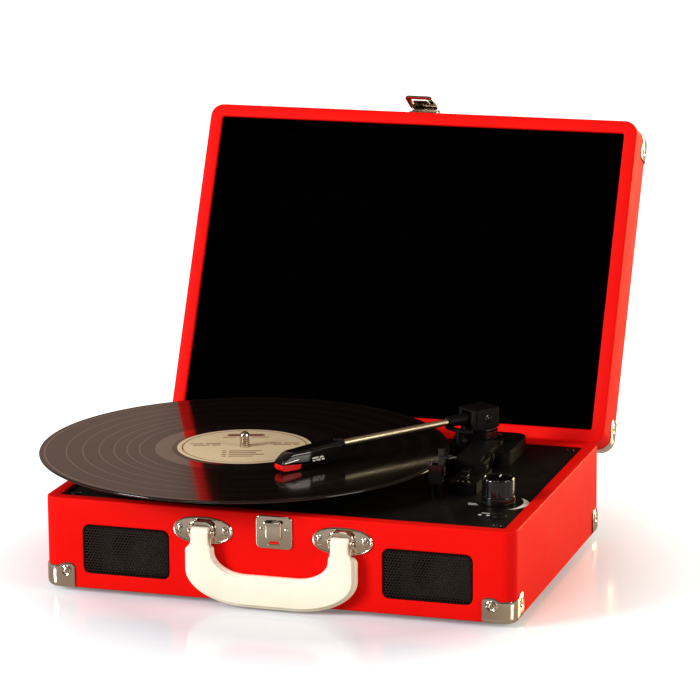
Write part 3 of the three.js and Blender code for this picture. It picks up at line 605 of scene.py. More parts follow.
def floor():
    """A faintly mirroring white floor that shines less near the player, a painted soft shadow round it; it
    shows bluer and brighter to the camera than to light and reflections.
    """
    mat, tree, node = shader("white floor", (0.80, 0.80, 0.80), 0.14, spec=0.3)
    node.inputs["Emission Color"].default_value = (1, 1, 1, 1)
    # Painted shadow: the floor's emission fades towards the player.
    painted_shadow_emission = spread(tree, radius_from(tree, Vector((0, -0.02, 0))), 0.16, 1.0, 0.17, 0.34)
    seen = camera_ray(tree)
    tint(tree, node, seen, (0.42, 0.36, 0.29), (0.76, 0.80, 0.87), 0, 1)
    keep = spread(tree, seen, 0.26, 1.0, 0, 1)
    strength = add(tree, "Math", {0: painted_shadow_emission, 1: keep}, operation="MULTIPLY").outputs["Value"]
    tree.links.new(strength, node.inputs["Emission Strength"])
    bm = bmesh.new()
    bmesh.ops.create_grid(bm, x_segments=1, y_segments=1, size=12, matrix=Matrix.Translation((0, 0, FLOOR)))
    mesh = bpy.data.meshes.new("floor")
    bm.to_mesh(mesh)
    bm.free()
    mesh.materials.append(mat)
    new_object("floor", mesh)


camera()
room()
for values in LAMPS:
    lamp(*values)
floor()


# -------- case
def case_loop(inset, z):
    radius = max(CORNER - inset, 2 * MM)
    return [(x, y, z) for x, y in rounded(CASE_W - 2 * inset, CASE_D - 2 * inset, radius, 12)]


def window(node, radius, y0, y1):
    """A cutter for the opening that a CAD node fills in a wall between y0 and y1."""
    low, high = corners(node)
    mid, size = (low + high) / 2, high - low
    outline = rounded(size.x + WINDOW_GAP, size.z + WINDOW_GAP, radius, 6, mid.x, mid.z)
    bm = bmesh.new()
    loft(bm, [[(x, y, z) for x, z in outline] for y in (y0, y1)])
    return mesh_object("cutter", bm)


def base_shell():
    """The wall's section, from the outer bottom over the top to the inner bottom, run round the case."""
    edge, inner = WRAP_EDGE, INNER_EDGE
    path = arc(edge, edge, edge, edge, 270, 180, 4)
    path += arc(edge, CASE_H - edge, edge, edge, 180, 90, 4)
    path += arc(WALL - inner, CASE_H - inner, inner, inner, 90, 0, 3)
    path.append((WALL, 0))
    bm = bmesh.new()
    loft(bm, [case_loop(inset, z) for inset, z in path], closed_path=True)
    piece = finish_mesh("base_wrap", bm, "base", "red_leatherette", ["base_shell"])
    carved(piece, [
        window("grille_left", 5 * MM, FRONT - 0.01, FRONT + 0.012),
        window("grille_right", 5 * MM, FRONT - 0.01, FRONT + 0.012),
        window("socket_panel", 3 * MM, BACK - 0.012, BACK + 0.01),
    ])
    soften(piece, 0.8 * MM, 2, 50)


def lid_shell():
    """Drawn closed: walls and top skin as one wrapped tray, then opened."""
    edge, inner, top = WRAP_EDGE, INNER_EDGE, LID_EDGE
    path = [(WALL, LID_TOP - LID_SKIN), (WALL, CASE_H + inner)]
    path += arc(WALL - inner, CASE_H + inner, inner, inner, 0, -90, 3)[1:]
    path += arc(edge, CASE_H + edge, edge, edge, 270, 180, 4)
    path += arc(top, LID_TOP - top, top, top, 180, 90, 6)
    bm = bmesh.new()
    loft(bm, [case_loop(inset, z) for inset, z in path])
    finish_mesh("lid_wrap", turn(bm, LID_TURN), "lid", "red_leatherette", ["lid_shell"])


def lid_liner():
    """A thin tray inside the lid whose walls curve into its ceiling."""
    inset = WALL + 0.1 * MM
    low = CASE_H + 2 * MM
    high = LID_TOP - LID_SKIN - 0.1 * MM
    inside = inset + 1 * MM
    curve, shelf = 3 * MM, high - 4 * MM
    path = [(inset, high), (inset, low), (inset + 0.3 * MM, low - 0.2 * MM), (inside, low), (inside, shelf)]
    path += arc(inside + curve, shelf, curve, curve, 180, 90, 4)[1:]
    bm = bmesh.new()
    loft(bm, [case_loop(i, z) for i, z in path])
    finish_mesh("lid_lining", turn(bm, LID_TURN), "lid", "black_lining", ["lid_liner"])


def deck():
    """The deck plate and its four cupped screws."""
    refined("deck_plate", 0.5 * MM, 2)
    cup = in_mm((3.6, -0.1), (3.6, 0.35), (2.7, 0.5), (2.6, 0))
    bm = bmesh.new()
    for x in (-156.5, 156.5):
        for y in (-107, 106):
            spot = Matrix.Translation((x * MM, y * MM, DECK))
            lathe(bm, cup, 32, spot)
            screw(bm, spot)
    finish_mesh("deck_screws", bm, "base", "gloss_black")


def grille(side):
    """A perforated sheet, slightly crowned, in a thin black surround."""
    low, high = corners(f"grille_{side}")
    mid, size = (low + high) / 2, high - low
    bm = bmesh.new()
    loops = []
    for inset, depth in ((0, 9.5), (0, 0.6), (0.15, 0.4), (0.4, 0.4), (0.5, 0.7), (0.5, 9.5)):
        wide, tall = size.x - 2 * inset * MM, size.z - 2 * inset * MM
        outline = rounded(wide, tall, (5 - inset) * MM, 8, mid.x, mid.z)
        loops.append([(x, low.y + depth * MM, z) for x, z in outline])
    loft(bm, loops, closed_path=True)
    finish_mesh(f"grille_frame_{side}", bm, "base", "black_plastic", [f"grille_{side}"])

    bm = bmesh.new()
    row = GRILLE_PITCH * math.sqrt(3) / 2
    reach = GRILLE_PITCH / math.sqrt(3)
    wide, tall = size.x - 0.8 * MM, size.z - 0.8 * MM
    hexagon = sweep(30, 330, 5)

    def crowned(x, z):
        u, v = (x - mid.x) / (wide / 2), (z - mid.z) / (tall / 2)
        bulge = (1 - min(1, u * u) ** 3) * (1 - min(1, v * v) ** 3)
        return (x, low.y + (0.9 - 0.5 * bulge) * MM, z)

    def ring(x, z, r):
        return [bm.verts.new(crowned(x + r * math.cos(a), z + r * math.sin(a))) for a in hexagon]

    for j in range(int(tall / row)):
        for i in range(int(wide / GRILLE_PITCH)):
            x = mid.x - wide / 2 + GRILLE_PITCH * (i + 0.5 + (0.5 if j % 2 else 0))
            z = mid.z - tall / 2 + row * (j + 0.5)
            outer = ring(x, z, reach)
            inner = ring(x, z, GRILLE_HOLE)
            for k in range(6):
                m = (k + 1) % 6
                bm.faces.new((outer[k], outer[m], inner[m], inner[k]))
    bmesh.ops.remove_doubles(bm, verts=bm.verts, dist=0.02 * MM)
    sheet = finish_mesh(f"grille_mesh_{side}", bm, "base", "black_plastic", mat=MESH)
    thick = sheet.modifiers.new("thick", "SOLIDIFY")
    thick.thickness = SHEET
    thick.offset = 0


# -------- chrome
CAP_X, CAP_Y = CASE_W / 2 - CORNER, CASE_D / 2 - CORNER
CAP_RADIUS = CORNER + CAP_THICK
CAP_FLAT = CAP_REACH - CORNER


def cap_stations():
    """Points and outward directions along a cap, from one face round the corner to the other."""
    steps = 14
    made = []
    for i in range(steps):
        made.append((Vector((CAP_X + CAP_RADIUS, CAP_Y - CAP_FLAT * (1 - i / steps))), Vector((1, 0))))
    for a in sweep(0, 90, steps):
        out = Vector((math.cos(a), math.sin(a)))
        made.append((Vector((CAP_X, CAP_Y)) + out * CAP_RADIUS, out))
    for i in range(1, steps + 1):
        made.append((Vector((CAP_X - CAP_FLAT * i / steps, CAP_Y + CAP_RADIUS)), Vector((0, 1))))
    return made


def cap_height(share):
    """Height of a cap's cut at a share of its length: raised, round-cornered tabs at both ends."""
    from_middle = abs(2 * share - 1)
    tab = min(1.0, max(0.0, (from_middle - 0.42) / 0.2))
    corner = max(0.0, (from_middle - 0.88) / 0.12)
    return CAP_TALL * (0.86 + 0.14 * ease(tab)) - 3 * MM * (1 - math.sqrt(1 - corner * corner))


def corner_cap(name, sx, sy, upper):
    """A pressed cap over one corner: rolled edges, a curved cut and a screw on each face."""
    def put(x, y, z):
        return (x * sx, y * sy, LID_TOP - z if upper else z)

    bm = bmesh.new()
    grid = []
    length = 2 * CAP_FLAT + CAP_RADIUS * math.pi / 2
    travelled = 0
    last = None
    for point, out in cap_stations():
        if last is not None:
            travelled += (point - last).length
        last = point
        top = cap_height(min(1.0, travelled / length))
        column = [
            (point - out * CAP_ROLL * (1 - math.sin(a)), -CAP_THICK + CAP_ROLL * (1 - math.cos(a)))
            for a in sweep(0, 90, 8)
        ]
        for k in range(1, 5):
            column.append((point, -CAP_THICK + CAP_ROLL + (top - CAP_ROLL) * k / 4))
        column.append((point - out * 0.35 * MM, top + 0.35 * MM))
        column.append((point - out * (CAP_THICK - 0.12 * MM), top + 0.35 * MM))
        grid.append([bm.verts.new(put(p.x, p.y, z)) for p, z in column])
    centre = bm.verts.new(put(CAP_X - CAP_FLAT * 0.35, CAP_Y - CAP_FLAT * 0.35, -CAP_THICK))
    for a, b in zip(grid, grid[1:]):
        for i in range(len(a) - 1):
            bm.faces.new((a[i], b[i], b[i + 1], a[i + 1]))
    for a, b in zip(grid, grid[1:]):
        bm.faces.new((a[0], centre, b[0]))
    cup = in_mm((4.4, -0.1), (4.0, 0.35), (3.3, 0.6), (2.7, 0.35), (2.1, 0))
    for axis, x, y, sign in (
        ("X", CAP_X + CAP_RADIUS, CAP_Y - CAP_FLAT * 0.5, sx),
        ("Y", CAP_X - CAP_FLAT * 0.5, CAP_Y + CAP_RADIUS, sy),
    ):
        spot = at(Vector(put(x, y, CAP_SCREW)), axis, sign < 0)
        lathe(bm, cup, 28, spot)
        screw(bm, spot, 1.9 * MM, 0.7 * MM)
    if upper:
        turn(bm, LID_TURN)
    finish_mesh(name + "_cap", bm, "lid" if upper else "base", "chrome", [name])


def plate(bm, lay, size, radius, height, span, edge, steps=(6, 3)):
    """A rounded plate centred at a height in metres; its other sizes are in millimetres."""
    outline = rounded(size[0] * MM, size[1] * MM, radius * MM, steps[0], 0, height)
    slab(bm, outline, span[0] * MM, span[1] * MM, edge * MM, steps[1], lay)


def latch_catch():
    """Plate, raised tongue over a slot, two rivets and a lip."""
    low, high = corners("latch_catch")
    bm = bmesh.new()
    wide, tall = (high.x - low.x) / MM, (high.z - low.z) / MM
    plate(bm, ON_FRONT, (wide, tall), 3.5, (low.z + high.z) / 2, (0, 1.2), 0.7)
    plate(bm, ON_FRONT, (12, 15), 3.6, 54.5 * MM, (0.8, 4), 1.4, (8, 4))
    plate(bm, ON_FRONT, (13.5, 3.2), 1.5, 60 * MM, (3, 5.4), 1, (5, 3))
    for x in (-9.2, 9.2):
        screw(bm, at(Vector((x * MM, FRONT - 1.2 * MM, 55 * MM)), "Y", True), 1.5 * MM, 0.8 * MM)
    dress("latch_catch", bm)
    bm = bmesh.new()
    plate(bm, ON_FRONT, (7.5, 1.6), 0.7, 45.6 * MM, (1.1, 1.25), 0, (4, 1))
    finish_mesh("latch_slot", bm, "base", "red_leatherette")
    bm = bmesh.new()
    plate(bm, ON_FRONT, (9, 0.8), 0.35, 44 * MM, (1.1, 1.8), 0.2, (4, 2))
    finish_mesh("latch_lip", bm, "base", "chrome")


def handle_mount(side, s):
    """A domed oval plate with two screws, a ring over the strap, and the bail it loops round."""
    x, y, z = BAIL.x + s * BAIL_X, BAIL.y, BAIL.z
    bm = bmesh.new()
    loops = []
    dome = ((0, 0), (0, 0.6), (0.3, 0.95), (0.9, 1.1), (1.4, 0.85), (1.9, 0.9), (5, 1.3), (8, 1.6))
    for inset, high in dome:
        wide, tall = (22 - inset) * MM, (10 - inset) * MM
        loops.append([
            ON_FRONT @ Vector((x + wide * squared(c, 0.86), z + tall * squared(d, 0.86), high * MM))
            for c, d in circle(1, 72)
        ])
    loft(bm, loops)
    cup = in_mm((3.7, -0.6), (3.6, 0.3), (3.1, 0.6), (2.7, 0.1))
    for t in (-1, 1):
        end = x + t * BAIL_HALF
        bar(bm, (end, FRONT - 1 * MM, z), (end, y, z), 1.5 * MM, 20)
        elbow = Matrix.Translation((end, y, z))
        bmesh.ops.create_icosphere(bm, subdivisions=3, radius=1.9 * MM, matrix=elbow)
        spot = at(Vector((x + t * 16.6 * MM, FRONT - 0.9 * MM, z)), "Y", True)
        lathe(bm, cup, 28, spot)
        screw(bm, spot, 2.5 * MM, 1.1 * MM)
    bar(bm, (x - 8 * MM, y, z), (x + 8 * MM, y, z), 1.6 * MM, 24)
    arch = []
    for a in sweep(-25, 205, 36):
        out = Vector((math.cos(a), 0, math.sin(a)))
        across, up = squared(out.x, 0.67) * 8.5 * MM, squared(out.z, 0.67) * 7.3 * MM
        centre = Vector((x + across, FRONT - 4.2 * MM, z - 0.2 * MM + up))
        arch.append([centre + (out * c + Vector((0, 1, 0)) * d) * ARCH_BAR for c, d in circle(1, 12)])
    loft(bm, arch)
    dress(f"handle_mount_{side}", bm)


# -------- handle
def ribbon(name, pairs, y0, y1, edge, replaces=()):
    """A moulded band between paired outer and inner points, with rounded edges all round."""
    bm = bmesh.new()
    loops = []
    for outer, inner in pairs:
        outer, inner = Vector(outer), Vector(inner)
        across = inner - outer
        wide = across.length
        across.normalize()
        ring = []
        for a, y in rounded(wide, y1 - y0, edge, 5, wide / 2, (y0 + y1) / 2):
            point = outer + across * a
            ring.append((BAIL.x + point.x, y, point.y))
        loops.append(ring)
    loft(bm, loops)
    finish_mesh(name, bm, "handle", "ivory_plastic", replaces, 50)


def handle_pairs(half, rim, bottom, top, start, outer, inner):
    """Left half of a U as (outer, inner) points, from under the shoulder to the middle."""
    pairs = []
    for i in range(6):
        t = i / 6
        pairs.append((
            (-half, start + (bottom + outer[1] - start) * t),
            (-rim, start + (top + inner[1] - start) * t),
        ))
    for a in sweep(180, 270, 24):
        pairs.append((
            (-half + outer[0] * (1 + math.cos(a)), bottom + outer[1] * (1 + math.sin(a))),
            (-rim + inner[0] * (1 + math.cos(a)), top + inner[1] * (1 + math.sin(a))),
        ))
    return pairs


def mirrored(pairs):
    """A left half followed by its mirror image."""
    return pairs + [((-o[0], o[1]), (-i[0], i[1])) for o, i in reversed(pairs)]


def handle():
    """A U of two layers: a wide back, and a front whose straps loop over the bails."""
    half, bottom = HANDLE_HALF, HANDLE_LOW
    x, z, mid = BAIL_X, BAIL.z, BAIL.y
    top = 21.6 * MM
    rim = x - STRAP - 2.6 * MM
    outer, inner = (46 * MM, 25 * MM), (24 * MM, 15 * MM)
    radius = 4 * MM
    shoulder = []
    for a in sweep(0, 90, 6)[:-1]:
        drop, shift = radius * (1 - math.cos(a)), radius * (1 - math.sin(a))
        shoulder.append(((-half + shift, SHOULDER - drop), (-rim - 0.6 * shift, SHOULDER - 0.4 * drop)))
    body = shoulder + handle_pairs(half, rim, bottom, top, SHOULDER - radius, outer, inner)
    ribbon("handle_back", mirrored(body), mid - 1.6 * MM, mid + 3.8 * MM, 1.9 * MM, ["handle_grip"])

    # The front layer is narrower by a lip outside and a hem inside, and eases out from the strap.
    lip, hem = 2.6 * MM, 0.9 * MM
    straps = []
    for i in range(9):
        grown = ease(max(0.0, (i / 8 - 0.45) / 0.55))
        level = z - 12.6 * MM * i / 8
        straps.append((
            (-(x + STRAP) + (x + STRAP - half + lip) * grown, level),
            (-(x - STRAP) - (rim + hem - x + STRAP) * grown, level),
        ))
    start = level - 0.6 * MM
    inside = (inner[0] + hem, inner[1] + hem)
    outside = (outer[0] - lip, outer[1] - lip)
    body = straps + handle_pairs(half - lip, rim + hem, bottom + lip, top - hem, start, outside, inside)
    ribbon("handle_front", mirrored(body), mid - 3.8 * MM, mid - 1.7 * MM, 0.9 * MM)
    for side, s in (("left", -1), ("right", 1)):
        middle = BAIL.x + s * x
        bm = bmesh.new()
        section = in_mm((-6.5, 1.75), (-6.5, 3.2), (-5.9, 3.8), (5.9, 3.8), (6.5, 3.2), (6.5, 1.75))
        loft(bm, [
            [(middle + w, mid - out * math.cos(a), z + out * math.sin(a)) for w, out in section]
            for a in sweep(-10, 190, 24)
        ])
        low = (middle - STRAP, mid + 1.75 * MM, SHOULDER - 2 * MM)
        block(bm, low, (middle + STRAP, mid + 3.7 * MM, z + 0.2 * MM))
        finish_mesh(f"handle_loop_{side}", bm, "handle", "ivory_plastic", (), 30)


# -------- platter and record
def platter():
    """A ribbed disc with a grooved, rounded rim."""
    low, high = corners("platter")
    radius = (high.x - low.x) / 2
    ribs = in_mm((3.9, 68), (9, 68), (9, 72), (59, 74.5), (59, 67), (62, 67), (62, 74.5), (94, 74.5))
    rim = [(94 * MM, low.z), (radius - 0.6 * MM, low.z), (radius, low.z + 0.6 * MM)]
    rim += [(radius - inset * MM, z * MM) for inset, z in ((0, 71), (0.5, 71.5), (0.5, 73.5), (0, 74))]
    edge = 1.5 * MM
    rim += arc(radius - edge, high.z - edge, edge, edge, 0, 90, 4)
    bm = bmesh.new()
    lathe(bm, ribs + rim + [(BORE, high.z), (BORE, 68 * MM)], 128, AT_SPINDLE)
    dress("platter", bm, 40)


def slip_mat():
    low, high = corners("slip_mat")
    radius = (high.x - low.x) / 2
    profile = [(BORE, low.z), (radius, low.z), (radius, high.z - 0.5 * MM), (radius - 0.5 * MM, high.z)]
    bm = bmesh.new()
    lathe(bm, profile + [(BORE, high.z), (BORE, low.z)], 128, AT_SPINDLE)
    dress("slip_mat", bm, 40)


def record():
    """A pressed record: a rounded bead, a sunk playing surface with bands, and a printed label."""
    low, high = corners("record")
    top, under = high.z, low.z
    radius = (high.x - low.x) / 2
    flat = top - 0.3 * MM
    profile = [(BORE, under), (radius - 1.2 * MM, under)]
    profile += arc(radius - 1.0 * MM, (top + under) / 2, 1.0 * MM, 0.95 * MM, -90, 90, 8)
    profile += [(radius - 2.4 * MM, top - 0.05 * MM), (radius - 3.4 * MM, flat), (radius - 4.0 * MM, flat)]
    profile += [(53.6 * MM, flat), (53 * MM, flat), (51.5 * MM, top - 0.05 * MM)]
    profile += [(LABEL_RADIUS, top - 0.02 * MM), (BORE, top - 0.02 * MM), (BORE, under)]
    bm = bmesh.new()
    lathe(bm, profile, 192, AT_SPINDLE)
    dress("record", bm, 50)

    # Bands between songs, the run-out and the lead-in: smooth and glossy, and a little lighter than the
    # grooves, a painted sheen.
    bands = [(line - BAND_HALF, line + BAND_HALF) for line in RECORD_BANDS] + [(53.5, 66), (146.2, 148.6)]
    level = flat + 0.01 * MM
    bm = bmesh.new()
    for inner, outer in bands:
        lathe(bm, [(inner * MM, level), (outer * MM, level)], 192, AT_SPINDLE)
    finish_mesh("record_bands", bm, "turntable", "vinyl", (), 50, SHEEN_BAND)

    bm = bmesh.new()
    lathe(bm, [(BORE, top), (49.6 * MM, top), (LABEL_RADIUS, top - 0.1 * MM)], 128, AT_SPINDLE)
    finish_mesh("record_label", bm, "turntable", "vinyl", (), 40, LABEL)
    label_print(top)


def label_print(top):
    """A ring, a plain mark of two ovals, and short bars where words would be."""
    ink = top + 0.04 * MM
    bm = bmesh.new()
    lathe(bm, [(45.4 * MM, top + 0.03 * MM), (46.3 * MM, top + 0.03 * MM)], 128, AT_SPINDLE)
    facing = AT_SPINDLE @ Matrix.Rotation(math.radians(17), 4, "Z")
    for x in (-7.5, 7.5):
        slab(bm, rounded(13 * MM, 6 * MM, 2.9 * MM, 8, x * MM, 33 * MM), top, ink, matrix=facing)
    # Each row: its height, where it starts, and the lengths of its bars.
    rows = [(26, -17, (10, 7, 13)), (7, -40, (9, 11)), (3, -38, (12, 6)), (8, 19, (8, 11)), (4, 21, (13, 4))]
    rows += [(y, -16, (3, wide)) for y, wide in ((-14, 24), (-19, 20), (-24, 26), (-29, 18))]
    for y, x, words in rows:
        for wide in words:
            block(bm, (x * MM, y * MM, top), ((x + wide) * MM, (y + 1.7) * MM, ink), facing)
            x += wide + 2
    finish_mesh("record_label_lines", bm, "turntable", "vinyl", (), 40, LABEL_LINE)


def spindle():
    """A stepped pin with five ribs under a domed tip."""
    profile = in_mm((0, 28), (3.6, 30), (3.6, 66), (8, 66.2), (8, 67.9), (3.6, 67.9))
    neck = 3.3 * MM
    for i in range(5):
        rib = (82.4 + 1.5 * i) * MM
        profile += [(PIN, rib), (neck, rib + 0.3 * MM), (neck, rib + 0.9 * MM), (PIN, rib + 1.2 * MM)]
    dome = 2.6 * MM
    profile += arc(0, corners("spindle")[1].z - dome, 3.5 * MM, dome, 0, 90, 7)
    bm = bmesh.new()
    lathe(bm, profile, 48, AT_SPINDLE)
    dress("spindle", bm, 40)


# -------- tonearm, drawn along +X from its pivot
def on_arm(along, side, z):
    """A point on the tonearm, given in millimetres."""
    return ARM_TURN @ Vector((along * MM, side * MM, z * MM))


LEVEL = PIVOT.z / MM


def arm_housing():
    """A hollow block with a screw in a cup on each side, on a flanged turret."""
    bm = bmesh.new()
    slab(bm, rounded(24 * MM, 22 * MM, 3 * MM, 6), 86 * MM, 101 * MM, 1.6 * MM, 4, ARM_TURN)
    piece = dress("arm_housing", bm)
    bm = bmesh.new()
    block(bm, (-9.5 * MM, -4.6 * MM, 87.4 * MM), (16 * MM, 4.6 * MM, 99.2 * MM), ARM_TURN)
    carved(piece, [mesh_object("cutter", bm)])
    soften(piece, 0.4 * MM, 2, 50)
    bm = bmesh.new()
    for side in (-1, 1):
        facing = ARM_TURN @ at(Vector((0, side * 11 * MM, PIVOT.z)), "Y", side < 0)
        lathe(bm, in_mm((3, -0.3), (3, 0.3), (2.3, 0.5), (2.2, 0)), 28, facing)
        screw(bm, facing, 1.6 * MM, 0.8 * MM)
    finish_mesh("arm_housing_screws", bm, "arm_swivel", "gloss_black")
    bm = bmesh.new()
    profile = in_mm((0, 67), (6, 67), (6, 84.2), (13, 84.3), (13.4, 84.7), (13.4, 85.5), (12.9, 86), (0, 86))
    lathe(bm, profile, 64, AT_PIVOT)
    dress("arm_turret", bm, 40, "gloss_black")


def arm_tube():
    """The sleeve on its cross pin, and the tube in it."""
    bm = bmesh.new()
    outline = rounded(18 * MM, 7.2 * MM, 1.5 * MM, 4, 2 * MM, 0)
    slab(bm, outline, PIVOT.z - 3.4 * MM, PIVOT.z + 3.4 * MM, 0.8 * MM, 3, ARM_TURN)
    sleeve = in_mm((0, 0), (3.9, 0), (4.2, 0.4), (4.2, 17.6), (3.6, 18.6), (2.6, 18.6), (0, 18.6))
    lathe(bm, sleeve, 40, ARM_TURN @ at(Vector((12 * MM, 0, PIVOT.z)), "X"))
    bar(bm, on_arm(0, -8.5, LEVEL), on_arm(0, 8.5, LEVEL), 1.5 * MM, 20)
    dress("arm_sleeve", bm)
    bm = bmesh.new()
    bar(bm, on_arm(30.5, 0, LEVEL), on_arm(128.5, 0, LEVEL), TUBE, 40)
    dress("arm_tube", bm)


def headshell():
    """A collar and a wedge that slopes down to a rounded nose, with marks on its side and a steel bar along
    the nose, a painted highlight.
    """
    bm = bmesh.new()
    collar = in_mm((2.5, 0), (4.2, 0), (4.4, 0.3), (4.4, 2), (4.0, 2.3), (4.4, 2.6), (4.4, 6))
    collar += in_mm((3, 6.6), (2.5, 6.6))
    lathe(bm, collar, 40, ARM_TURN @ at(Vector((128.3 * MM, 0, PIVOT.z)), "X"))
    neck, nose = 134, 185
    loops = []
    for i in range(29):
        t = i / 28
        top = 97 - 1.9 * min(1, t / 0.65) - 6.6 * max(0, (t - 0.72) / 0.28) ** 3.2
        low = 85.4 + 4.2 * max(0, 1 - t / 0.2) ** 1.3 + 1.6 * max(0, (t - 0.65) / 0.35)
        half = 7.5 - 2.5 * max(0, (t - 0.55) / 0.45) ** 1.4
        tall = top - low
        ring = rounded(2 * half, tall, min(2.2, tall * 0.42), 5, 0, (top + low) / 2)
        loops.append([on_arm(neck + (nose - neck) * t, side, z) for side, z in ring])
    loft(bm, loops)
    dress("headshell", bm, 50, "gloss_black")
    bm = bmesh.new()
    for z, marks in ((88.4, ((150.5, 154), (155, 160.5))), (86.6, ((149.5, 152), (153, 157), (158, 160)))):
        for a, b in marks:
            block(bm, (a * MM, 7.4 * MM, z * MM), (b * MM, 7.58 * MM, (z + 1.1) * MM), ARM_TURN)
    finish_mesh("headshell_marks", bm, "arm", "gloss_black", (), 35, PRINT)
    # Painted highlight: a thin steel bar along the nose's near top edge.
    bm = bmesh.new()
    highlight_bar = ((172, 6.4, 89.6), (178, 5.9, 89.0), (183.5, 5.2, 88.2))
    for start, end in zip(highlight_bar, highlight_bar[1:]):
        bar(bm, on_arm(*start), on_arm(*end), 0.8 * MM, 14)
    finish_mesh("headshell_highlight_bar", bm, "arm", "steel")


def cartridge():
    """The red stylus guard and the tip under it."""
    outline = [(167.5, 85.3), (185.4, 87.0), (185.4, 84.6), (184.2, 82.6), (182.6, 81.8)]
    outline += [(170.4, 81.6), (168.4, 82.6)]
    bm = bmesh.new()
    loft(bm, [[on_arm(along, side, z) for along, z in outline] for side in (-4.6, 4.6)])
    soften(dress("cartridge", bm), 0.5 * MM)
    bm = bmesh.new()
    tip = in_mm((0, 81.2), (0.25, 81.5), (0.5, 82), (0.5, 83), (0, 83.2))
    lathe(bm, tip, 16, ARM_TURN @ Matrix.Translation((180 * MM, 0, 0)))
    finish_mesh("stylus_tip", bm, "arm", "steel")


# -------- deck furniture
def tonearm_base():
    """The stepped housing, the drum and flange on it, and the ticks by its two sliders."""
    refined("tonearm_base", 0.9 * MM)
    bm = bmesh.new()
    lathe(bm, in_mm((14.1, 78), (14.1, 83.6), (13.6, 84), (6.4, 84)), 64, AT_PIVOT)
    lathe(bm, in_mm((19.1, 74), (19.1, 76.4), (18.4, 77.2), (14, 78.6)), 64, AT_PIVOT)
    finish_mesh("arm_drum", bm, "base", "gloss_black", (), 40)
    bm = bmesh.new()
    top = 72 * MM
    for node, ticks in (("speed_slider", 3), ("stop_slider", 2)):
        low, high = corners(node)
        for k in range(ticks):
            x = (low.x + high.x) / 2 + (k - (ticks - 1) / 2) * 4 * MM
            block(bm, (x - 0.3 * MM, low.y - 2.4 * MM, top), (x + 0.3 * MM, low.y - 0.8 * MM, top + INK))
    finish_mesh("switch_marks", bm, "base", "black_plastic", (), 35, PRINT)


def knob():
    """A fluted knob with a skirt, a dished top and a pointer line."""
    low, high = corners("volume_knob")
    start, top = DECK + 0.5 * MM, high.z
    radius = (high.x - low.x) / 2
    flutes, steps = 9, 144
    # Each level: its share of the radius, its height, and the depth of the flutes there.
    levels = [(1.0, start, 0), (1.0, start + 5.0 * MM, 0), (0.99, start + 5.4 * MM, 0)]
    levels += [(0.955, start + 5.6 * MM, 1), (0.945, start + 6.4 * MM, 1), (0.94, top - 1.4 * MM, 1)]
    levels += [(0.925, top - 0.5 * MM, 0.6), (0.88, top, 0.2), (0.82, top, 0), (0.78, top - 0.5 * MM, 0)]
    levels.append((0.3, top - 0.7 * MM, 0))
    bm = bmesh.new()
    loops = []
    for share, z, depth in levels:
        ring = []
        for i in range(steps):
            a = 2 * math.pi * i / steps
            r = radius * (share - max(0.0, math.cos(a * flutes)) ** 10 * 0.04 * depth)
            ring.append((KNOB.x + r * math.cos(a), KNOB.y + r * math.sin(a), z))
        loops.append(ring)
    loft(bm, loops)
    bar(bm, (KNOB.x, KNOB.y, 54.5 * MM), (KNOB.x, KNOB.y, start + 1 * MM), 2.5 * MM)
    dress("volume_knob", bm, 40)
    bm = bmesh.new()
    x, y = KNOB.x, KNOB.y
    block(bm, (x - 0.4 * MM, y + 3 * MM, top - 0.7 * MM), (x + 0.4 * MM, y + 8 * MM, top - 0.4 * MM))
    finish_mesh("volume_pointer", bm, "knob", "gloss_black", (), 35, PRINT)


def deck_marks():
    """Printed level arc that grows round the knob, and plain bars where small print would be."""
    bm = bmesh.new()
    steps = 40
    mid = 19.8 * MM
    previous = None
    for i in range(steps + 1):
        t = i / steps
        a = math.radians(50 - 104 * t)
        wide = 4.2 * MM * math.sin(math.pi * t) + 0.3 * MM
        here = []
        for r in (mid - wide / 2, mid + wide / 2):
            here.append(bm.verts.new((KNOB.x + r * math.cos(a), KNOB.y + r * math.sin(a), DECK + INK)))
        if previous:
            bm.faces.new((previous[0], previous[1], here[1], here[0]))
        previous = here
    tall = 0.9
    for x, y, wide in ((124, -55, 6.5), (125.5, -58, 7), (140, -77, 6)):
        low = ((x - wide / 2) * MM, (y - tall / 2) * MM, DECK)
        block(bm, low, ((x + wide / 2) * MM, (y + tall / 2) * MM, DECK + INK))
    for x in (137, 143):
        slab(bm, circle(1.3 * MM, 20, x * MM, -82 * MM), DECK, DECK + INK)
    finish_mesh("deck_print", bm, "base", "black_plastic", (), 35, PRINT)


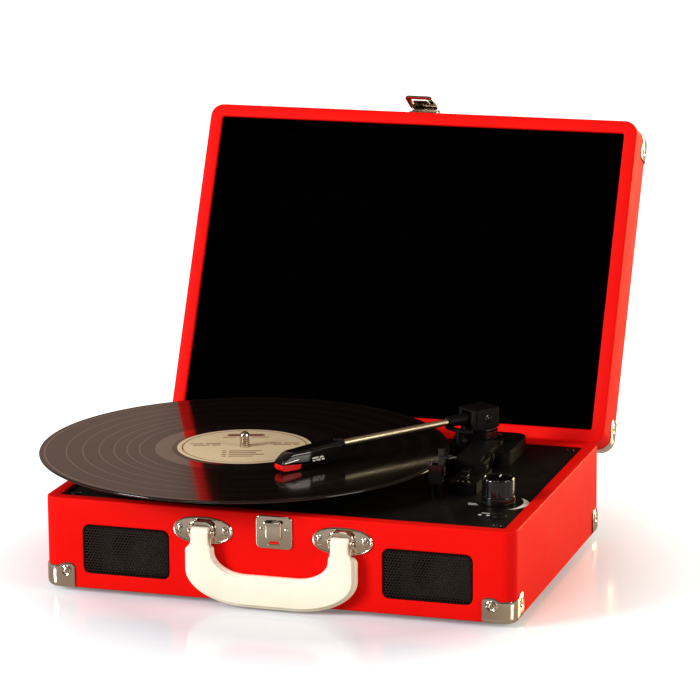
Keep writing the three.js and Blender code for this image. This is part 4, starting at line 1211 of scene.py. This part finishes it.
# -------- lid latch
def lid_latch():
    """Drawn on the closed lid: a plate with two hinge lugs and a pin, and the lifted hasp's lever."""
    hinge_y, hinge_z = FRONT - HASP_OUT, CASE_H + HASP_UP

    def on_lid(x, y, z):
        return LID_TURN @ Vector((x, y, z))

    bm = bmesh.new()
    plate(bm, LID_TURN @ ON_FRONT, (23, 22), 3.5, CASE_H + 12.5 * MM, (0, 1.2), 0.6)
    for t in (-1, 1):
        bar(bm, on_lid(t * 8.6 * MM, hinge_y, hinge_z), on_lid(t * 11 * MM, hinge_y, hinge_z), 2.3 * MM, 28)
        lug = t * 9.8 * MM
        low = (lug - 1.2 * MM, hinge_y, hinge_z - 2.2 * MM)
        block(bm, low, (lug + 1.2 * MM, FRONT - 0.8 * MM, hinge_z + 2.2 * MM), LID_TURN)
        spot = Vector((t * 7.5 * MM, FRONT - 1.2 * MM, CASE_H + 20 * MM))
        screw(bm, LID_TURN @ at(spot, "Y", True), 1.6 * MM, 0.8 * MM)
    bar(bm, on_lid(-10 * MM, hinge_y, hinge_z), on_lid(10 * MM, hinge_y, hinge_z), 1 * MM, 16)
    dress("latch_plate", bm)
    refined("latch_hasp", 0.45 * MM)
    swing = LID_TURN @ Matrix.Translation((0, hinge_y, hinge_z)) @ Matrix.Rotation(HASP_LIFT, 4, "X")
    upright = swing @ Matrix.Rotation(math.radians(90), 4, "X")
    bm = bmesh.new()
    plate(bm, upright, (12.6, 9.4), 2, -16.6 * MM, (0.8, 1.5), 0.3, (6, 2))
    plate(bm, upright, (8.6, 4.6), 1.4, -16.8 * MM, (1.3, 2.0), 0.4)
    finish_mesh("latch_lever", bm, "hasp", "chrome")


# -------- build it all
SIDES = (("left", -1), ("right", 1))
CORNERS = [(f"{depth}_{side}", sx, sy) for depth, sy in (("front", -1), ("rear", 1)) for side, sx in SIDES]

base_shell()
lid_shell()
lid_liner()
deck()
for side, _ in SIDES:
    grille(side)
for corner, sx, sy in CORNERS:
    corner_cap(f"base_corner_{corner}", sx, sy, False)
    corner_cap(f"lid_corner_{corner}", sx, sy, True)
latch_catch()
for side, s in SIDES:
    handle_mount(side, s)
handle()
platter()
slip_mat()
record()
spindle()
arm_housing()
arm_tube()
headshell()
cartridge()
tonearm_base()
knob()
deck_marks()
lid_latch()

# Small CAD nodes that show with rounded edges, and how far in millimetres.
ROUNDED = {
    "arm_rest": 0.8, "headphone_jack": 0.3, "socket_panel": 0.4, "power_inlet": 0.3, "line_outputs": 0.3,
    "cue_lever": 0.6, "lift_post": 0.4, "speed_slider": 0.6, "stop_slider": 0.6, "rest_lock": 0.3,
    "bottom_panel": 0.8, "drive_motor": 0.5, "circuit_board": 0.2, "motor_pulley": 0.2, "drive_belt": 0.15,
}
for side, _ in SIDES:
    ROUNDED.update({f"hinge_leaf_base_{side}": 0.3, f"hinge_leaf_lid_{side}": 0.3, f"speaker_{side}": 0.3})
for corner, _, _ in CORNERS:
    ROUNDED[f"foot_{corner}"] = 0.8
for node, width in ROUNDED.items():
    refined(node, width * MM, 2)

# Nodes that show as they are get their slot's material.
for name, obj in frame["nodes"].items():
    obj.data.materials.clear()
    obj.data.materials.append(MATERIALS[slot_of[name]])
